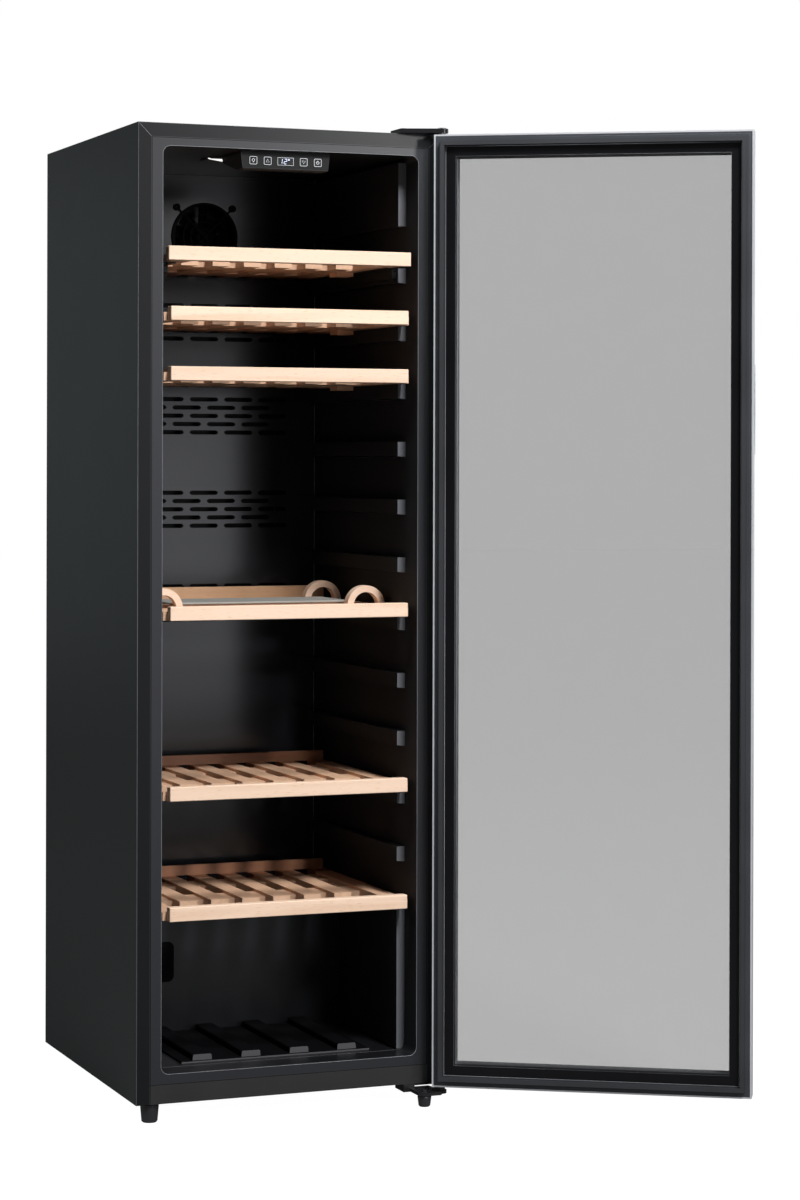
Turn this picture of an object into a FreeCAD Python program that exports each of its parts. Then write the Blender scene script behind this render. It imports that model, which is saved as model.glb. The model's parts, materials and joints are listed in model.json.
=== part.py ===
import FreeCAD, Part

import math
import os
import Sketcher

# Tall free-standing wine cooler with a glass door hung on its right side.
# Origin: on the floor, midway between the two rear feet. +X is to the right as seen from the front,
# +Y points to the back, +Z points up. The door is modelled shut and then turned open about its pins.

Vector = FreeCAD.Vector
Z_AXIS = Vector(0, 0, 1)

doc = FreeCAD.newDocument("wine_cooler")
sheet = doc.addObject("Spreadsheet::Sheet", "sizes")
sheet.Label = "sizes"
PARTS = []
BODIES = []


# ---------------------------------------------------------------- sizes and expressions

class Size:
    """A length that carries its spreadsheet formula together with its present value."""

    def __init__(self, text, number):
        self.text = text
        self.number = float(number)

    def __add__(self, other):
        other = as_size(other)
        return Size(f"({self.text} + {other.text})", self.number + other.number)

    def __radd__(self, other):
        return as_size(other) + self

    def __sub__(self, other):
        other = as_size(other)
        return Size(f"({self.text} - {other.text})", self.number - other.number)

    def __rsub__(self, other):
        return as_size(other) - self

    def __mul__(self, other):
        other = as_size(other)
        return Size(f"({self.text} * {other.text})", self.number * other.number)

    def __rmul__(self, other):
        return as_size(other) * self

    def __truediv__(self, other):
        other = as_size(other)
        return Size(f"({self.text} / {other.text})", self.number / other.number)

    def __neg__(self):
        return Size(f"(0 - {self.text})", -self.number)


def as_size(value):
    return value if isinstance(value, Size) else Size(f"{float(value):.6f}", value)


def size(alias, number):
    """Write one driving dimension into the sheet and return it as a Size."""
    cell = f"B{len(sheet.getUsedCells()) // 2 + 1}"
    sheet.set("A" + cell[1:], alias)
    sheet.set(cell, str(number))
    sheet.setAlias(cell, alias)
    return Size(f"sizes.{alias}", number)


def bind(obj, prop, value):
    obj.setExpression(prop, as_size(value).text)


# ---------------------------------------------------------------- building helpers

def in_frame(obj, x, y, z):
    for axis, value in zip("xyz", (x, y, z)):
        bind(obj, f"Placement.Base.{axis}", value)
    return obj


def box(name, low, high):
    """A block between two opposite corners."""
    block = doc.addObject("Part::Box", name)
    for prop, a, b in zip(("Length", "Width", "Height"), low, high):
        bind(block, prop, as_size(b) - a)
    return in_frame(block, *low)


def cylinder(name, radius, low, length, along="Z"):
    """A cylinder that starts at the point low and runs along +X, +Y or +Z."""
    rod = doc.addObject("Part::Cylinder", name)
    bind(rod, "Radius", radius)
    bind(rod, "Height", length)
    turns = {"X": (Vector(0, 1, 0), 90), "Y": (Vector(1, 0, 0), -90), "Z": (Z_AXIS, 0)}
    axis, angle = turns[along]
    rod.Placement = FreeCAD.Placement(Vector(), FreeCAD.Rotation(axis, angle))
    return in_frame(rod, *low)


def fuse(name, *shapes):
    joined = doc.addObject("Part::MultiFuse", name)
    joined.Shapes = list(shapes)
    return joined


def cut(name, base, *tools):
    result = doc.addObject("Part::Cut", name)
    result.Base = base
    result.Tool = tools[0] if len(tools) == 1 else fuse(name + "_tools", *tools)
    return result


def group(name, *shapes):
    together = doc.addObject("Part::Compound", name)
    together.Links = list(shapes)
    return together


def body(name):
    made = doc.addObject("PartDesign::Body", name)
    BODIES.append(made)
    return made


def sketch(owner, plane, offset=0):
    """A sketch on an origin plane of its body, moved along the plane's normal axis by offset."""
    made = owner.newObject("Sketcher::SketchObject", f"{owner.Name}_sketch")
    made.AttachmentSupport = origin_plane(owner, plane)
    made.MapMode = "FlatFace"
    along = -as_size(offset) if plane == "XZ_Plane" else as_size(offset)
    bind(made, "AttachmentOffset.Base.z", along)
    return made


def pin(drawing, kind, edge, end, value):
    value = as_size(value)
    index = drawing.addConstraint(Sketcher.Constraint(kind, -1, 1, edge, end, value.number))
    drawing.setExpression(f"Constraints[{index}]", value.text)


def pin_point(drawing, edge, end, x, y):
    pin(drawing, "DistanceX", edge, end, x)
    pin(drawing, "DistanceY", edge, end, y)


def pin_radius(drawing, edge, radius):
    radius = as_size(radius)
    index = drawing.addConstraint(Sketcher.Constraint("Radius", edge, radius.number))
    drawing.setExpression(f"Constraints[{index}]", radius.text)


def bowed(start, end, bulge):
    """An arc whose middle stands off its chord by bulge, always drawn anticlockwise."""
    chord = end - start
    left = Vector(-chord.y, chord.x, 0).normalize()
    middle = (start + end) * 0.5
    centre = middle + left * (bulge / 2 - chord.Length ** 2 / (8 * bulge))
    if bulge > 0:
        start, end = end, start
    first = start - centre
    last = end - centre
    angles = (math.atan2(first.y, first.x), math.atan2(last.y, last.x))
    return Part.ArcOfCircle(Part.Circle(centre, Z_AXIS, first.Length), *angles)


def edge_ends(edge, point):
    """Which end of an edge lies at the point: a clockwise arc runs back from its end."""
    goal = Vector(point[0].number, point[1].number, 0)
    near = edge.StartPoint.distanceToPoint(goal)
    return (1, 2) if near <= edge.EndPoint.distanceToPoint(goal) else (2, 1)


def pin_bulge(drawing, edge, point, following):
    """Fix an arc by its centre where its chord lies along an axis, and by its radius elsewhere."""
    span_x = following[0] - point[0]
    span_y = following[1] - point[1]
    bulge = point[2]
    chord = span_x * span_x + span_y * span_y
    if abs(span_x.number) < 1e-9:
        sign = 1 if span_y.number > 0 else -1
        pin(drawing, "DistanceX", edge, 3, point[0] - (bulge / 2 - chord / (8 * bulge)) * sign)
    elif abs(span_y.number) < 1e-9:
        sign = 1 if span_x.number > 0 else -1
        pin(drawing, "DistanceY", edge, 3, point[1] + (bulge / 2 - chord / (8 * bulge)) * sign)
    else:
        bulge = bulge if bulge.number > 0 else -bulge
        pin_radius(drawing, edge, chord / (8 * bulge) + bulge / 2)


def outline(drawing, points):
    """A closed outline of straight edges. A point may carry a third value: the bulge of the arc
    that leads on to the next point, as an offset of the arc's middle to the left of its chord."""
    points = [tuple(as_size(v) for v in point) for point in points]
    for index, point in enumerate(points):
        following = points[(index + 1) % len(points)]
        start = Vector(point[0].number, point[1].number, 0)
        end = Vector(following[0].number, following[1].number, 0)
        if len(point) == 3:
            drawing.addGeometry(bowed(start, end, point[2].number), False)
        else:
            drawing.addGeometry(Part.LineSegment(start, end), False)
    for index, point in enumerate(points):
        first, last = edge_ends(drawing.Geometry[index], point)
        pin_point(drawing, index, first, point[0], point[1])
        nxt = (index + 1) % len(points)
        if len(point) == 3:
            pin_point(drawing, index, last, points[nxt][0], points[nxt][1])
            pin_bulge(drawing, index, point, points[nxt])
        else:
            joint = edge_ends(drawing.Geometry[nxt], points[nxt])[0]
            drawing.addConstraint(Sketcher.Constraint("Coincident", index, 2, nxt, joint))
    return drawing


def rectangle(drawing, x0, y0, x1, y1):
    return outline(drawing, [(x0, y0), (x1, y0), (x1, y1), (x0, y1)])


def rounded_rectangle(drawing, x0, y0, x1, y1, radius):
    x0, y0, x1, y1, radius = (as_size(v) for v in (x0, y0, x1, y1, radius))
    first = drawing.GeometryCount
    corners = [(x0, y0, 1, 1), (x1, y0, -1, 1), (x1, y1, -1, -1), (x0, y1, 1, -1)]
    ends = []
    for x, y, sx, sy in corners:
        along_x = (x + radius * sx, y)
        along_y = (x, y + radius * sy)
        ends.append((along_y, along_x) if sx == sy else (along_x, along_y))
    bend = 1 - 0.5 ** 0.5
    for index, (x, y, sx, sy) in enumerate(corners):
        start, end = ends[index]
        middle = Vector((x + radius * sx * bend).number, (y + radius * sy * bend).number, 0)
        a = Vector(start[0].number, start[1].number, 0)
        b = Vector(end[0].number, end[1].number, 0)
        drawing.addGeometry(Part.Arc(a, middle, b), False)
    for index in range(4):
        a = ends[index][1]
        b = ends[(index + 1) % 4][0]
        line = Part.LineSegment(Vector(a[0].number, a[1].number, 0), Vector(b[0].number, b[1].number, 0))
        drawing.addGeometry(line, False)
    for index in range(4):
        arc = first + index
        for end, (x, y) in zip((1, 2), ends[index]):
            pin_point(drawing, arc, end, x, y)
        pin_radius(drawing, arc, radius)
        drawing.addConstraint(Sketcher.Constraint("Coincident", arc, 2, first + 4 + index, 1))
        following = first + (index + 1) % 4
        drawing.addConstraint(Sketcher.Constraint("Coincident", first + 4 + index, 2, following, 1))
    return drawing


def circle(drawing, x, y, radius):
    x, y = as_size(x), as_size(y)
    index = drawing.GeometryCount
    centre = Vector(x.number, y.number, 0)
    drawing.addGeometry(Part.Circle(centre, Z_AXIS, as_size(radius).number), False)
    pin_point(drawing, index, 3, x, y)
    pin_radius(drawing, index, radius)
    return drawing


def frame_ring(drawing, x0, z0, x1, z1, outer, inner):
    """Two rectangles, set in from one outline by outer and by inner."""
    rectangle_at(drawing, x0 + outer, z0 + outer, x1 - outer, z1 - outer)
    rectangle_at(drawing, x0 + inner, z0 + inner, x1 - inner, z1 - inner)
    return drawing


def rectangle_at(drawing, x0, y0, x1, y1):
    """A rectangle added to a sketch that already holds other edges."""
    corners = [(as_size(x), as_size(y)) for x, y in ((x0, y0), (x1, y0), (x1, y1), (x0, y1))]
    first = drawing.GeometryCount
    for index, (x, y) in enumerate(corners):
        nx, ny = corners[(index + 1) % 4]
        line = Part.LineSegment(Vector(x.number, y.number, 0), Vector(nx.number, ny.number, 0))
        drawing.addGeometry(line, False)
    for index, (x, y) in enumerate(corners):
        pin_point(drawing, first + index, 1, x, y)
        drawing.addConstraint(
            Sketcher.Constraint("Coincident", first + index, 2, first + (index + 1) % 4, 1))


def pad(owner, drawing, length):
    """Add material from the sketch towards the positive side of its axis."""
    made = owner.newObject("PartDesign::Pad", f"{owner.Name}_pad")
    made.Profile = drawing
    made.Reversed = drawing.AttachmentSupport[0][0].Role == "XZ_Plane"
    bind(made, "Length", length)
    return made


def pocket(owner, drawing, length):
    """Remove material from the sketch towards the positive side of its axis."""
    made = owner.newObject("PartDesign::Pocket", f"{owner.Name}_pocket")
    made.Profile = drawing
    made.Reversed = drawing.AttachmentSupport[0][0].Role != "XZ_Plane"
    bind(made, "Length", length)
    return made


def revolve(owner, drawing, axis="V_Axis"):
    made = owner.newObject("PartDesign::Revolution", f"{owner.Name}_turned")
    made.Profile = drawing
    made.ReferenceAxis = (drawing, [axis])
    made.Angle = 360
    return made


def row(feature, axis, pitch, count):
    """One straight row of copies, as a step of transformed()."""
    return ("row", (feature.Profile[0], [axis]), pitch, count)


def origin_plane(owner, plane):
    return ([f for f in owner.Origin.OriginFeatures if f.Role == plane][0], [""])


def transformed(owner, features, *steps):
    """Copies of features by rows, mirrors about the middle plane, or a ring about the Y axis."""
    made = owner.newObject("PartDesign::MultiTransform", f"{owner.Name}_copies")
    stages = []
    for step in steps:
        if step[0] == "row":
            stage = owner.newObject("PartDesign::LinearPattern", f"{owner.Name}_row")
            stage.Direction = step[1]
            stage.Mode = "Spacing"
            bind(stage, "Offset", step[2])
            stage.Occurrences = step[3]
        elif step[0] == "ring":
            stage = owner.newObject("PartDesign::PolarPattern", f"{owner.Name}_ring")
            stage.Axis = ([f for f in owner.Origin.OriginFeatures if f.Role == "Y_Axis"][0], [""])
            stage.Occurrences = step[1]
            stage.Angle = 360
        else:
            stage = owner.newObject("PartDesign::Mirrored", f"{owner.Name}_mirror")
            stage.MirrorPlane = origin_plane(owner, step[1])
        stages.append(stage)
    made.Originals = list(features)
    made.Transformations = stages
    owner.Tip = made
    return made


MIRROR_X = ("mirror", "YZ_Plane")


def mirrored_copy(name, source):
    made = doc.addObject("Part::Mirroring", name)
    made.Source = source
    made.Normal = Vector(1, 0, 0)
    return made


def finish(obj, label):
    obj.Label = label
    PARTS.append(obj)
    return obj


# ---------------------------------------------------------------- driving dimensions

cabinet_width = size("cabinet_width", 595)
cabinet_depth = size("cabinet_depth", 635)
cabinet_height = size("cabinet_height", 1785)
foot_height = size("foot_height", 35)
rear_foot_inset = size("rear_foot_inset", 50)
rear_foot_side_inset = size("rear_foot_side_inset", 75)
steel = size("steel", 1.0)
flange = size("flange", 25)
flange_lip = size("flange_lip", 12)
rail_height = size("rail_height", 35)
wall = size("wall", 47)
opening_bottom = size("opening_bottom", 53)
opening_top_gap = size("opening_top_gap", 41)
liner_skin = size("liner_skin", 3)
corner = size("corner", 15)
rear_insulation = size("rear_insulation", 50)
duct_deep = size("duct_deep", 55)
machine_deep = size("machine_deep", 260)
step_top = size("step_top", 318)
rib_top_gap = size("rib_top_gap", 208)
lowest_rack_gap = size("lowest_rack_gap", 10.75)
rib_height = size("rib_height", 27)
rib_reach = size("rib_reach", 16)
rib_start = size("rib_start", 62)
RIBS = 11
LOWEST_LEVEL = 11

fascia_side_gap = size("fascia_side_gap", 17.5)
fascia_tall = size("fascia_tall", 26)
fascia_thick = size("fascia_thick", 20)
fascia_y = size("fascia_y", 4)
rack_side_gap = size("rack_side_gap", 9.5)
rack_thick = size("rack_thick", 15.5)
rack_rear_gap = size("rack_rear_gap", 44)
side_rail = size("side_rail", 34)
slat_width = size("slat_width", 34)
slat_pitch = size("slat_pitch", 61.8)
slat_start = size("slat_start", 140)
crossbar_deep = size("crossbar_deep", 70)
rear_board_tall = size("rear_board_tall", 19)
seat_gap = size("seat_gap", 0.3)
SLATS = 6

door_top_gap = size("door_top_gap", 4)
door_thick = size("door_thick", 42)
door_gap = size("door_gap", 12)
door_border = size("door_border", 41.5)
door_skin = size("door_skin", 1.2)
door_lip = size("door_lip", 3)
hinge_side = size("hinge_side", 12)
hinge_front = size("hinge_front", 30)
door_open_angle = size("door_open_angle", 148.5)
pin_radius_size = size("pin_size", 5)
pin_clearance = size("pin_clearance", 0.05)
bush_radius = size("bush_size", 9)
pane_thick = size("pane_thick", 4)
pane_edge = size("pane_edge", 32)
pane_gap = size("pane_gap", 16)

front_y = rear_foot_inset - cabinet_depth
half_width = cabinet_width / 2
half_opening = half_width - wall
opening_top = cabinet_height - opening_top_gap
liner_depth = cabinet_depth - rear_insulation
cover_y = liner_depth - duct_deep
step_y = cabinet_depth - machine_deep
rib_tip = half_opening - rib_reach
rib_top = opening_top - rib_top_gap
rib_pitch = (rib_top - step_top - lowest_rack_gap) / LOWEST_LEVEL
fascia_width = (half_opening - fascia_side_gap) * 2
rack_width = (half_opening - rack_side_gap) * 2
rack_end = cover_y - rack_rear_gap
door_width = cabinet_width
door_height = cabinet_height - door_top_gap


def in_cabinet(obj):
    """Place an object drawn from the cabinet's front plane, centre line and underside."""
    return in_frame(obj, 0, front_y, foot_height)


# ---------------------------------------------------------------- outer case

def side_panel(name, side):
    """Folded sheet side with a front flange mitred at the top and a rear return."""
    made = body(name)
    outer = half_width * side
    at = lambda inward: outer - as_size(inward) * side
    profile = sketch(made, "XY_Plane")
    outline(profile, [(at(0), 0), (at(flange), 0), (at(flange), flange_lip),
                      (at(flange - steel), flange_lip), (at(flange - steel), steel),
                      (at(steel), steel), (at(steel), cabinet_depth - steel),
                      (at(15), cabinet_depth - steel), (at(15), cabinet_depth),
                      (at(0), cabinet_depth)])
    pad(made, profile, cabinet_height - steel)
    mitre = sketch(made, "XZ_Plane", -1)
    outline(mitre, [(at(steel), cabinet_height - steel), (at(flange), cabinet_height - flange),
                    (at(flange + 5), cabinet_height - flange),
                    (at(flange + 5), cabinet_height + 5), (at(steel), cabinet_height + 5)])
    pocket(made, mitre, flange_lip + 2)
    return finish(in_cabinet(made), name)


def top_panel():
    made = body("top_panel")
    profile = sketch(made, "YZ_Plane", -half_width)
    top = cabinet_height
    outline(profile, [(0, top - flange), (flange_lip, top - flange),
                      (flange_lip, top - flange + steel), (steel, top - flange + steel),
                      (steel, top - steel), (cabinet_depth, top - steel),
                      (cabinet_depth, top), (0, top)])
    pad(made, profile, cabinet_width)
    mitre = sketch(made, "XZ_Plane", -1)
    outline(mitre, [(-half_width - 1, top - flange - 1), (-half_width + flange, top - flange - 1),
                    (-half_width + flange, top - flange), (-half_width + steel, top - steel),
                    (-half_width - 1, top - steel)])
    corner_cut = pocket(made, mitre, flange_lip + 2)
    transformed(made, [corner_cut], MIRROR_X)
    return finish(in_cabinet(made), "top_panel")


def bottom_rail():
    made = body("bottom_rail")
    inner = half_width - flange
    profile = sketch(made, "YZ_Plane", -inner)
    lip = as_size(18)
    outline(profile, [(0, 0), (lip, 0), (lip, steel), (steel, steel),
                      (steel, rail_height - steel), (lip, rail_height - steel),
                      (lip, rail_height), (0, rail_height)])
    pad(made, profile, inner * 2)
    return finish(in_cabinet(made), "bottom_rail")


def base_pan():
    """Folded tray that closes the underside and carries the compressor."""
    made = body("base_pan")
    reach = half_width - steel
    fold = as_size(20)
    thick = as_size(1.5)
    profile = sketch(made, "XZ_Plane", 19)
    outline(profile, [(-reach, 0), (reach, 0), (reach, fold), (reach - thick, fold),
                      (reach - thick, thick), (-reach + thick, thick), (-reach + thick, fold),
                      (-reach, fold)])
    pad(made, profile, cabinet_depth - 19 - steel * 2)
    return finish(in_cabinet(made), "base_pan")


machine_top = as_size(300)


def back_panel():
    made = body("back_panel")
    reach = half_width - steel
    drawing = sketch(made, "XZ_Plane", cabinet_depth - steel * 2)
    rectangle(drawing, -reach, machine_top, reach, cabinet_height - steel)
    pad(made, drawing, steel)
    rib = sketch(made, "XZ_Plane", cabinet_depth - steel)
    rectangle(rib, -as_size(150), machine_top + 60, -as_size(138), cabinet_height - 60)
    stiffener = pad(made, rib, steel)
    transformed(made, [stiffener], MIRROR_X)
    return finish(in_cabinet(made), "back_panel")


gland_x = as_size(72.5) - half_width
gland_z = as_size(70)
gland_neck = size("gland_neck", 9)
gland_bore = size("gland_bore", 4.2)


def compressor_cover():
    """Slotted sheet over the machine space; the cord gland sits in its lower corner."""
    made = body("compressor_cover")
    reach = half_width - steel
    drawing = sketch(made, "XZ_Plane", cabinet_depth - steel * 2)
    rectangle(drawing, -reach, 22, reach, machine_top - 0.5)
    pad(made, drawing, steel)
    hole = sketch(made, "XZ_Plane", cabinet_depth - steel * 2 - 1)
    circle(hole, gland_x, gland_z, gland_neck)
    pocket(made, hole, steel + 2)
    first = sketch(made, "XZ_Plane", cabinet_depth - steel * 2 - 1)
    rectangle(first, -170, 150, -162, 250)
    slot = pocket(made, first, steel + 2)
    transformed(made, [slot], row(slot, "H_Axis", 22, 16))
    return finish(in_cabinet(made), "compressor_cover")


def cord_gland():
    """Flanged rubber bush in the rear cover that the mains lead passes through."""
    made = body("cord_gland")
    profile = sketch(made, "XY_Plane")
    flange_r = gland_neck + 4
    outline(profile, [(gland_bore, -6), (gland_neck + 2, -6), (gland_neck + 2, -3),
                      (gland_neck, -3), (gland_neck, -2), (flange_r, -2), (flange_r, 2),
                      (gland_neck, 8), (gland_bore, 8)])
    revolve(made, profile)
    in_frame(made, gland_x, front_y + cabinet_depth - steel + 2, foot_height + gland_z)
    return finish(made, "cord_gland")


# ---------------------------------------------------------------- liner and cold space

def inner_liner():
    """Thermoformed liner: flanged mouth, shelf ribs on both walls, step over the machine space."""
    made = body("inner_liner")
    skin = liner_skin
    shell = sketch(made, "XZ_Plane")
    rounded_rectangle(shell, -half_opening - skin, opening_bottom - skin, half_opening + skin,
                      opening_top + skin, corner + skin)
    pad(made, shell, liner_depth + skin)
    mouth = sketch(made, "XZ_Plane")
    reach = half_width - flange
    rectangle(mouth, -reach, rail_height, reach, cabinet_height - flange)
    pad(made, mouth, skin)
    hollow = sketch(made, "XZ_Plane", -1)
    rounded_rectangle(hollow, -half_opening, opening_bottom, half_opening, opening_top, corner)
    pocket(made, hollow, liner_depth + 1)
    step = sketch(made, "YZ_Plane", -half_opening - skin)
    rectangle(step, step_y, opening_bottom - skin, liner_depth + skin, step_top)
    pad(made, step, half_opening * 2 + skin * 2)
    machine = sketch(made, "YZ_Plane", -half_opening - skin * 2)
    rectangle(machine, step_y + skin, 0, liner_depth + skin * 2, step_top - skin)
    pocket(made, machine, half_opening * 2 + skin * 4)
    length = cover_y - rib_start - 1
    first = sketch(made, "XZ_Plane", rib_start)
    lowest = rib_top - rib_pitch * (RIBS - 1)
    root = half_opening + skin / 2
    outline(first, [(rib_tip, lowest - rib_height), (root, lowest - rib_height - 2),
                    (root, lowest), (rib_tip, lowest)])
    rib = pad(made, first, length)
    transformed(made, [rib], row(rib, "V_Axis", rib_pitch, RIBS), MIRROR_X)
    high = sketch(made, "XZ_Plane", rib_start)
    rectangle(high, rib_tip, rib_top + 80, root, opening_top - corner + 7)
    top_block = pad(made, high, length)
    low = sketch(made, "XZ_Plane", rib_start)
    low_top = rib_top - rib_pitch * LOWEST_LEVEL
    rectangle(low, rib_tip, opening_bottom + 2, root, low_top)
    low_block = pad(made, low, step_y - rib_start + 1)
    over = sketch(made, "XZ_Plane", rib_start)
    rectangle(over, rib_tip, step_top - 1, root, low_top)
    over_step = pad(made, over, length)
    transformed(made, [top_block, low_block, over_step], MIRROR_X)
    return finish(in_cabinet(made), "inner_liner")


fan_drop = size("fan_drop", 124)
fan_bore = size("fan_bore", 63)
vent_pitch_x = size("vent_pitch_x", 72.6)
vent_pitch_z = size("vent_pitch_z", 16.6)
vent_long = size("vent_long", 60.4)
vent_tall = size("vent_tall", 8.7)
vent_group_pitch = size("vent_group_pitch", 188)
vent_fan_gap = size("vent_fan_gap", 172)
cover_skin = size("cover_skin", 2.5)
pip_radius = size("pip_size", 3)
VENT_GROUPS = 4
fan_z = opening_top - fan_drop
vent_lowest = fan_z - vent_fan_gap - vent_group_pitch * (VENT_GROUPS - 1)


def duct_cover():
    """Moulded air duct over the evaporator: fan hole at the top, staggered rows of slots below."""
    made = body("duct_cover")
    edge = half_opening - 0.4
    shell = sketch(made, "XZ_Plane", cover_y)
    rounded_rectangle(shell, -edge, step_top + 0.4, edge, opening_top - 0.4, corner)
    pad(made, shell, liner_depth - cover_y)
    inside = sketch(made, "XZ_Plane", cover_y + cover_skin)
    rounded_rectangle(inside, -edge + cover_skin, step_top + 0.4 + cover_skin,
                      edge - cover_skin, opening_top - 0.4 - cover_skin, corner - cover_skin)
    pocket(made, inside, liner_depth - cover_y)
    hole = sketch(made, "XZ_Plane", cover_y - 1)
    circle(hole, 0, fan_z, fan_bore + 2.3)
    pocket(made, hole, cover_skin + 2)
    for start_x, start_z, across, down in (
            (-vent_pitch_x * 2, vent_lowest - vent_pitch_z * 2, 5, 3),
            (-vent_pitch_x * 1.5, vent_lowest - vent_pitch_z, 4, 2)):
        drawing = sketch(made, "XZ_Plane", cover_y - 1)
        slot_outline(drawing, start_x, start_z, vent_long, vent_tall)
        slot = pocket(made, drawing, cover_skin + 2)
        transformed(made, [slot], row(slot, "H_Axis", vent_pitch_x, across),
                    row(slot, "V_Axis", vent_pitch_z * 2, down),
                    row(slot, "V_Axis", vent_group_pitch, VENT_GROUPS))
    pip_low = vent_lowest + 48
    fixing = sketch(made, "XZ_Plane", cover_y - 1.5)
    circle(fixing, half_opening - 44.5, pip_low, pip_radius)
    pip = pad(made, fixing, 2)
    transformed(made, [pip], row(pip, "V_Axis", opening_top - 47 - pip_low, 2), MIRROR_X)
    return finish(in_cabinet(made), "duct_cover")


def slot_outline(drawing, x, z, long, tall):
    """A slot centred on x, z with chamfer-like rounded ends."""
    half = long / 2
    flat = half - tall / 2
    outline(drawing, [(x - flat, z - tall / 2), (x + flat, z - tall / 2), (x + half - 1.3, z - tall / 4),
                      (x + half, z), (x + half - 1.3, z + tall / 4), (x + flat, z + tall / 2),
                      (x - flat, z + tall / 2), (x - half + 1.3, z + tall / 4), (x - half, z),
                      (x - half + 1.3, z - tall / 4)])


fan_front = cover_y - 4
fan_back = cover_y + 26
rotor_front = cover_y + 3
rotor_back = cover_y + 19
shaft_radius = size("shaft_size", 3)


def fan_frame():
    """Shroud, finger guard of rings and spokes, screw ears and the rear motor mount."""
    z = fan_z
    ring = lambda name, outer, inner, y, deep: cut(
        name, cylinder(name + "_rim", outer, (0, y, z), deep, "Y"),
        cylinder(name + "_gap", inner, (0, y - 1, z), deep + 2, "Y"))
    tube = ring("shroud", fan_bore + 2, fan_bore, fan_front, fan_back - fan_front)
    collar = ring("collar", fan_bore + 6, fan_bore, fan_front, cover_y - fan_front)
    rings = [ring(f"guard_{n}", as_size(r), as_size(r - 2.2), fan_front, 2)
             for n, r in enumerate((16, 31, 46))]
    arms = []
    for n, angle in enumerate((45, 135)):
        arm = doc.addObject("Part::Box", f"guard_arm_{n}")
        reach = fan_bore + 20
        bind(arm, "Length", reach * 2)
        arm.Width = 2
        arm.Height = 3
        turn = FreeCAD.Rotation(Vector(0, 1, 0), angle)
        arm.Placement.Rotation = turn
        half = (reach.number, 1.5)
        low = turn.multVec(Vector(-half[0], 0, -half[1]))
        x_part = reach * (low.x / half[0])
        z_part = reach * (low.z / half[0])
        arms.append(in_frame(arm, x_part, fan_front, z + z_part))
    ears = []
    for sx in (-1, 1):
        for sz in (-1, 1):
            place = ((fan_bore + 20) * (0.7071 * sx), fan_front, z + (fan_bore + 20) * (0.7071 * sz))
            boss = cylinder("ear", 7, place, cover_y - fan_front, "Y")
            eye = cylinder("ear_hole", 2.2, (place[0], fan_front - 1, place[2]), 8, "Y")
            ears.append(cut("ear_boss", boss, eye))
    mount = cut("motor_mount", cylinder("mount_disc", 15, (0, fan_back - 4, z), 4, "Y"),
                cylinder("shaft_bore", shaft_radius + pin_clearance, (0, fan_back - 5, z), 6, "Y"))
    struts = []
    for n, (low, high) in enumerate((((13, -2.5), (fan_bore + 1, 2.5)),
                                     ((-fan_bore - 1, -2.5), (-13, 2.5)))):
        struts.append(box(f"strut_{n}", (low[0], fan_back - 4, z + low[1]),
                          (high[0], fan_back, z + high[1])))
    struts.append(box("strut_2", (-2.5, fan_back - 4, z + 13), (2.5, fan_back, z + fan_bore + 1)))
    frame = fuse("fan_frame", tube, collar, mount, *rings, *arms, *ears, *struts)
    return finish(in_cabinet(frame), "fan_frame")


def fan_rotor():
    """Hub with seven cambered, pitched blades and a stub shaft in the motor mount."""
    made = body("fan_rotor")
    hub = sketch(made, "XY_Plane")
    deep = rotor_back - rotor_front
    back = fan_back - rotor_front
    outline(hub, [(0, 1), (12, 1), (20, 4), (20, deep), (shaft_radius, deep),
                  (shaft_radius, back - 0.5), (0, back - 0.5)])
    revolve(made, hub)
    blade = sketch(made, "XY_Plane", 18)
    outline(blade, [(-12, 1.2), (-11, 0.2), (1, 6), (12, deep - 1), (10.6, deep - 0.4), (0, 7.6)])
    vane = pad(made, blade, fan_bore - 4 - 18)
    transformed(made, [vane], ("ring", 7))
    in_frame(made, 0, front_y + rotor_front, foot_height + fan_z)
    return finish(made, "fan_rotor")


evaporator_drop = size("evaporator_drop", 860)


def evaporator():
    """Roll-bond plate with its refrigerant channels, stood off the liner's back wall."""
    made = body("evaporator")
    y = liner_depth - 24
    low = fan_z - evaporator_drop
    plate = sketch(made, "XZ_Plane", y)
    rectangle(plate, -190, low, 190, low + 720)
    pad(made, plate, 1.6)
    channel = sketch(made, "XZ_Plane", y - 3.5)
    rectangle(channel, -170, low + 30, 170, low + 39)
    run = pad(made, channel, 4)
    transformed(made, [run], row(run, "V_Axis", 60, 12))
    bend = sketch(made, "XZ_Plane", y - 3.5)
    rectangle(bend, 161, low + 39, 170, low + 90)
    turn = pad(made, bend, 4)
    transformed(made, [turn], row(turn, "V_Axis", 120, 6))
    other = sketch(made, "XZ_Plane", y - 3.5)
    rectangle(other, -170, low + 99, -161, low + 150)
    back = pad(made, other, 4)
    transformed(made, [back], row(back, "V_Axis", 120, 5))
    post = sketch(made, "XZ_Plane", y + 1)
    rectangle(post, 176, low + 10, 186, low + 20)
    foot = pad(made, post, liner_depth - y - 1)
    transformed(made, [foot], row(foot, "V_Axis", 690, 2), MIRROR_X)
    return finish(in_cabinet(made), "evaporator")


tray_side_gap = size("tray_side_gap", 48.5)


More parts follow.
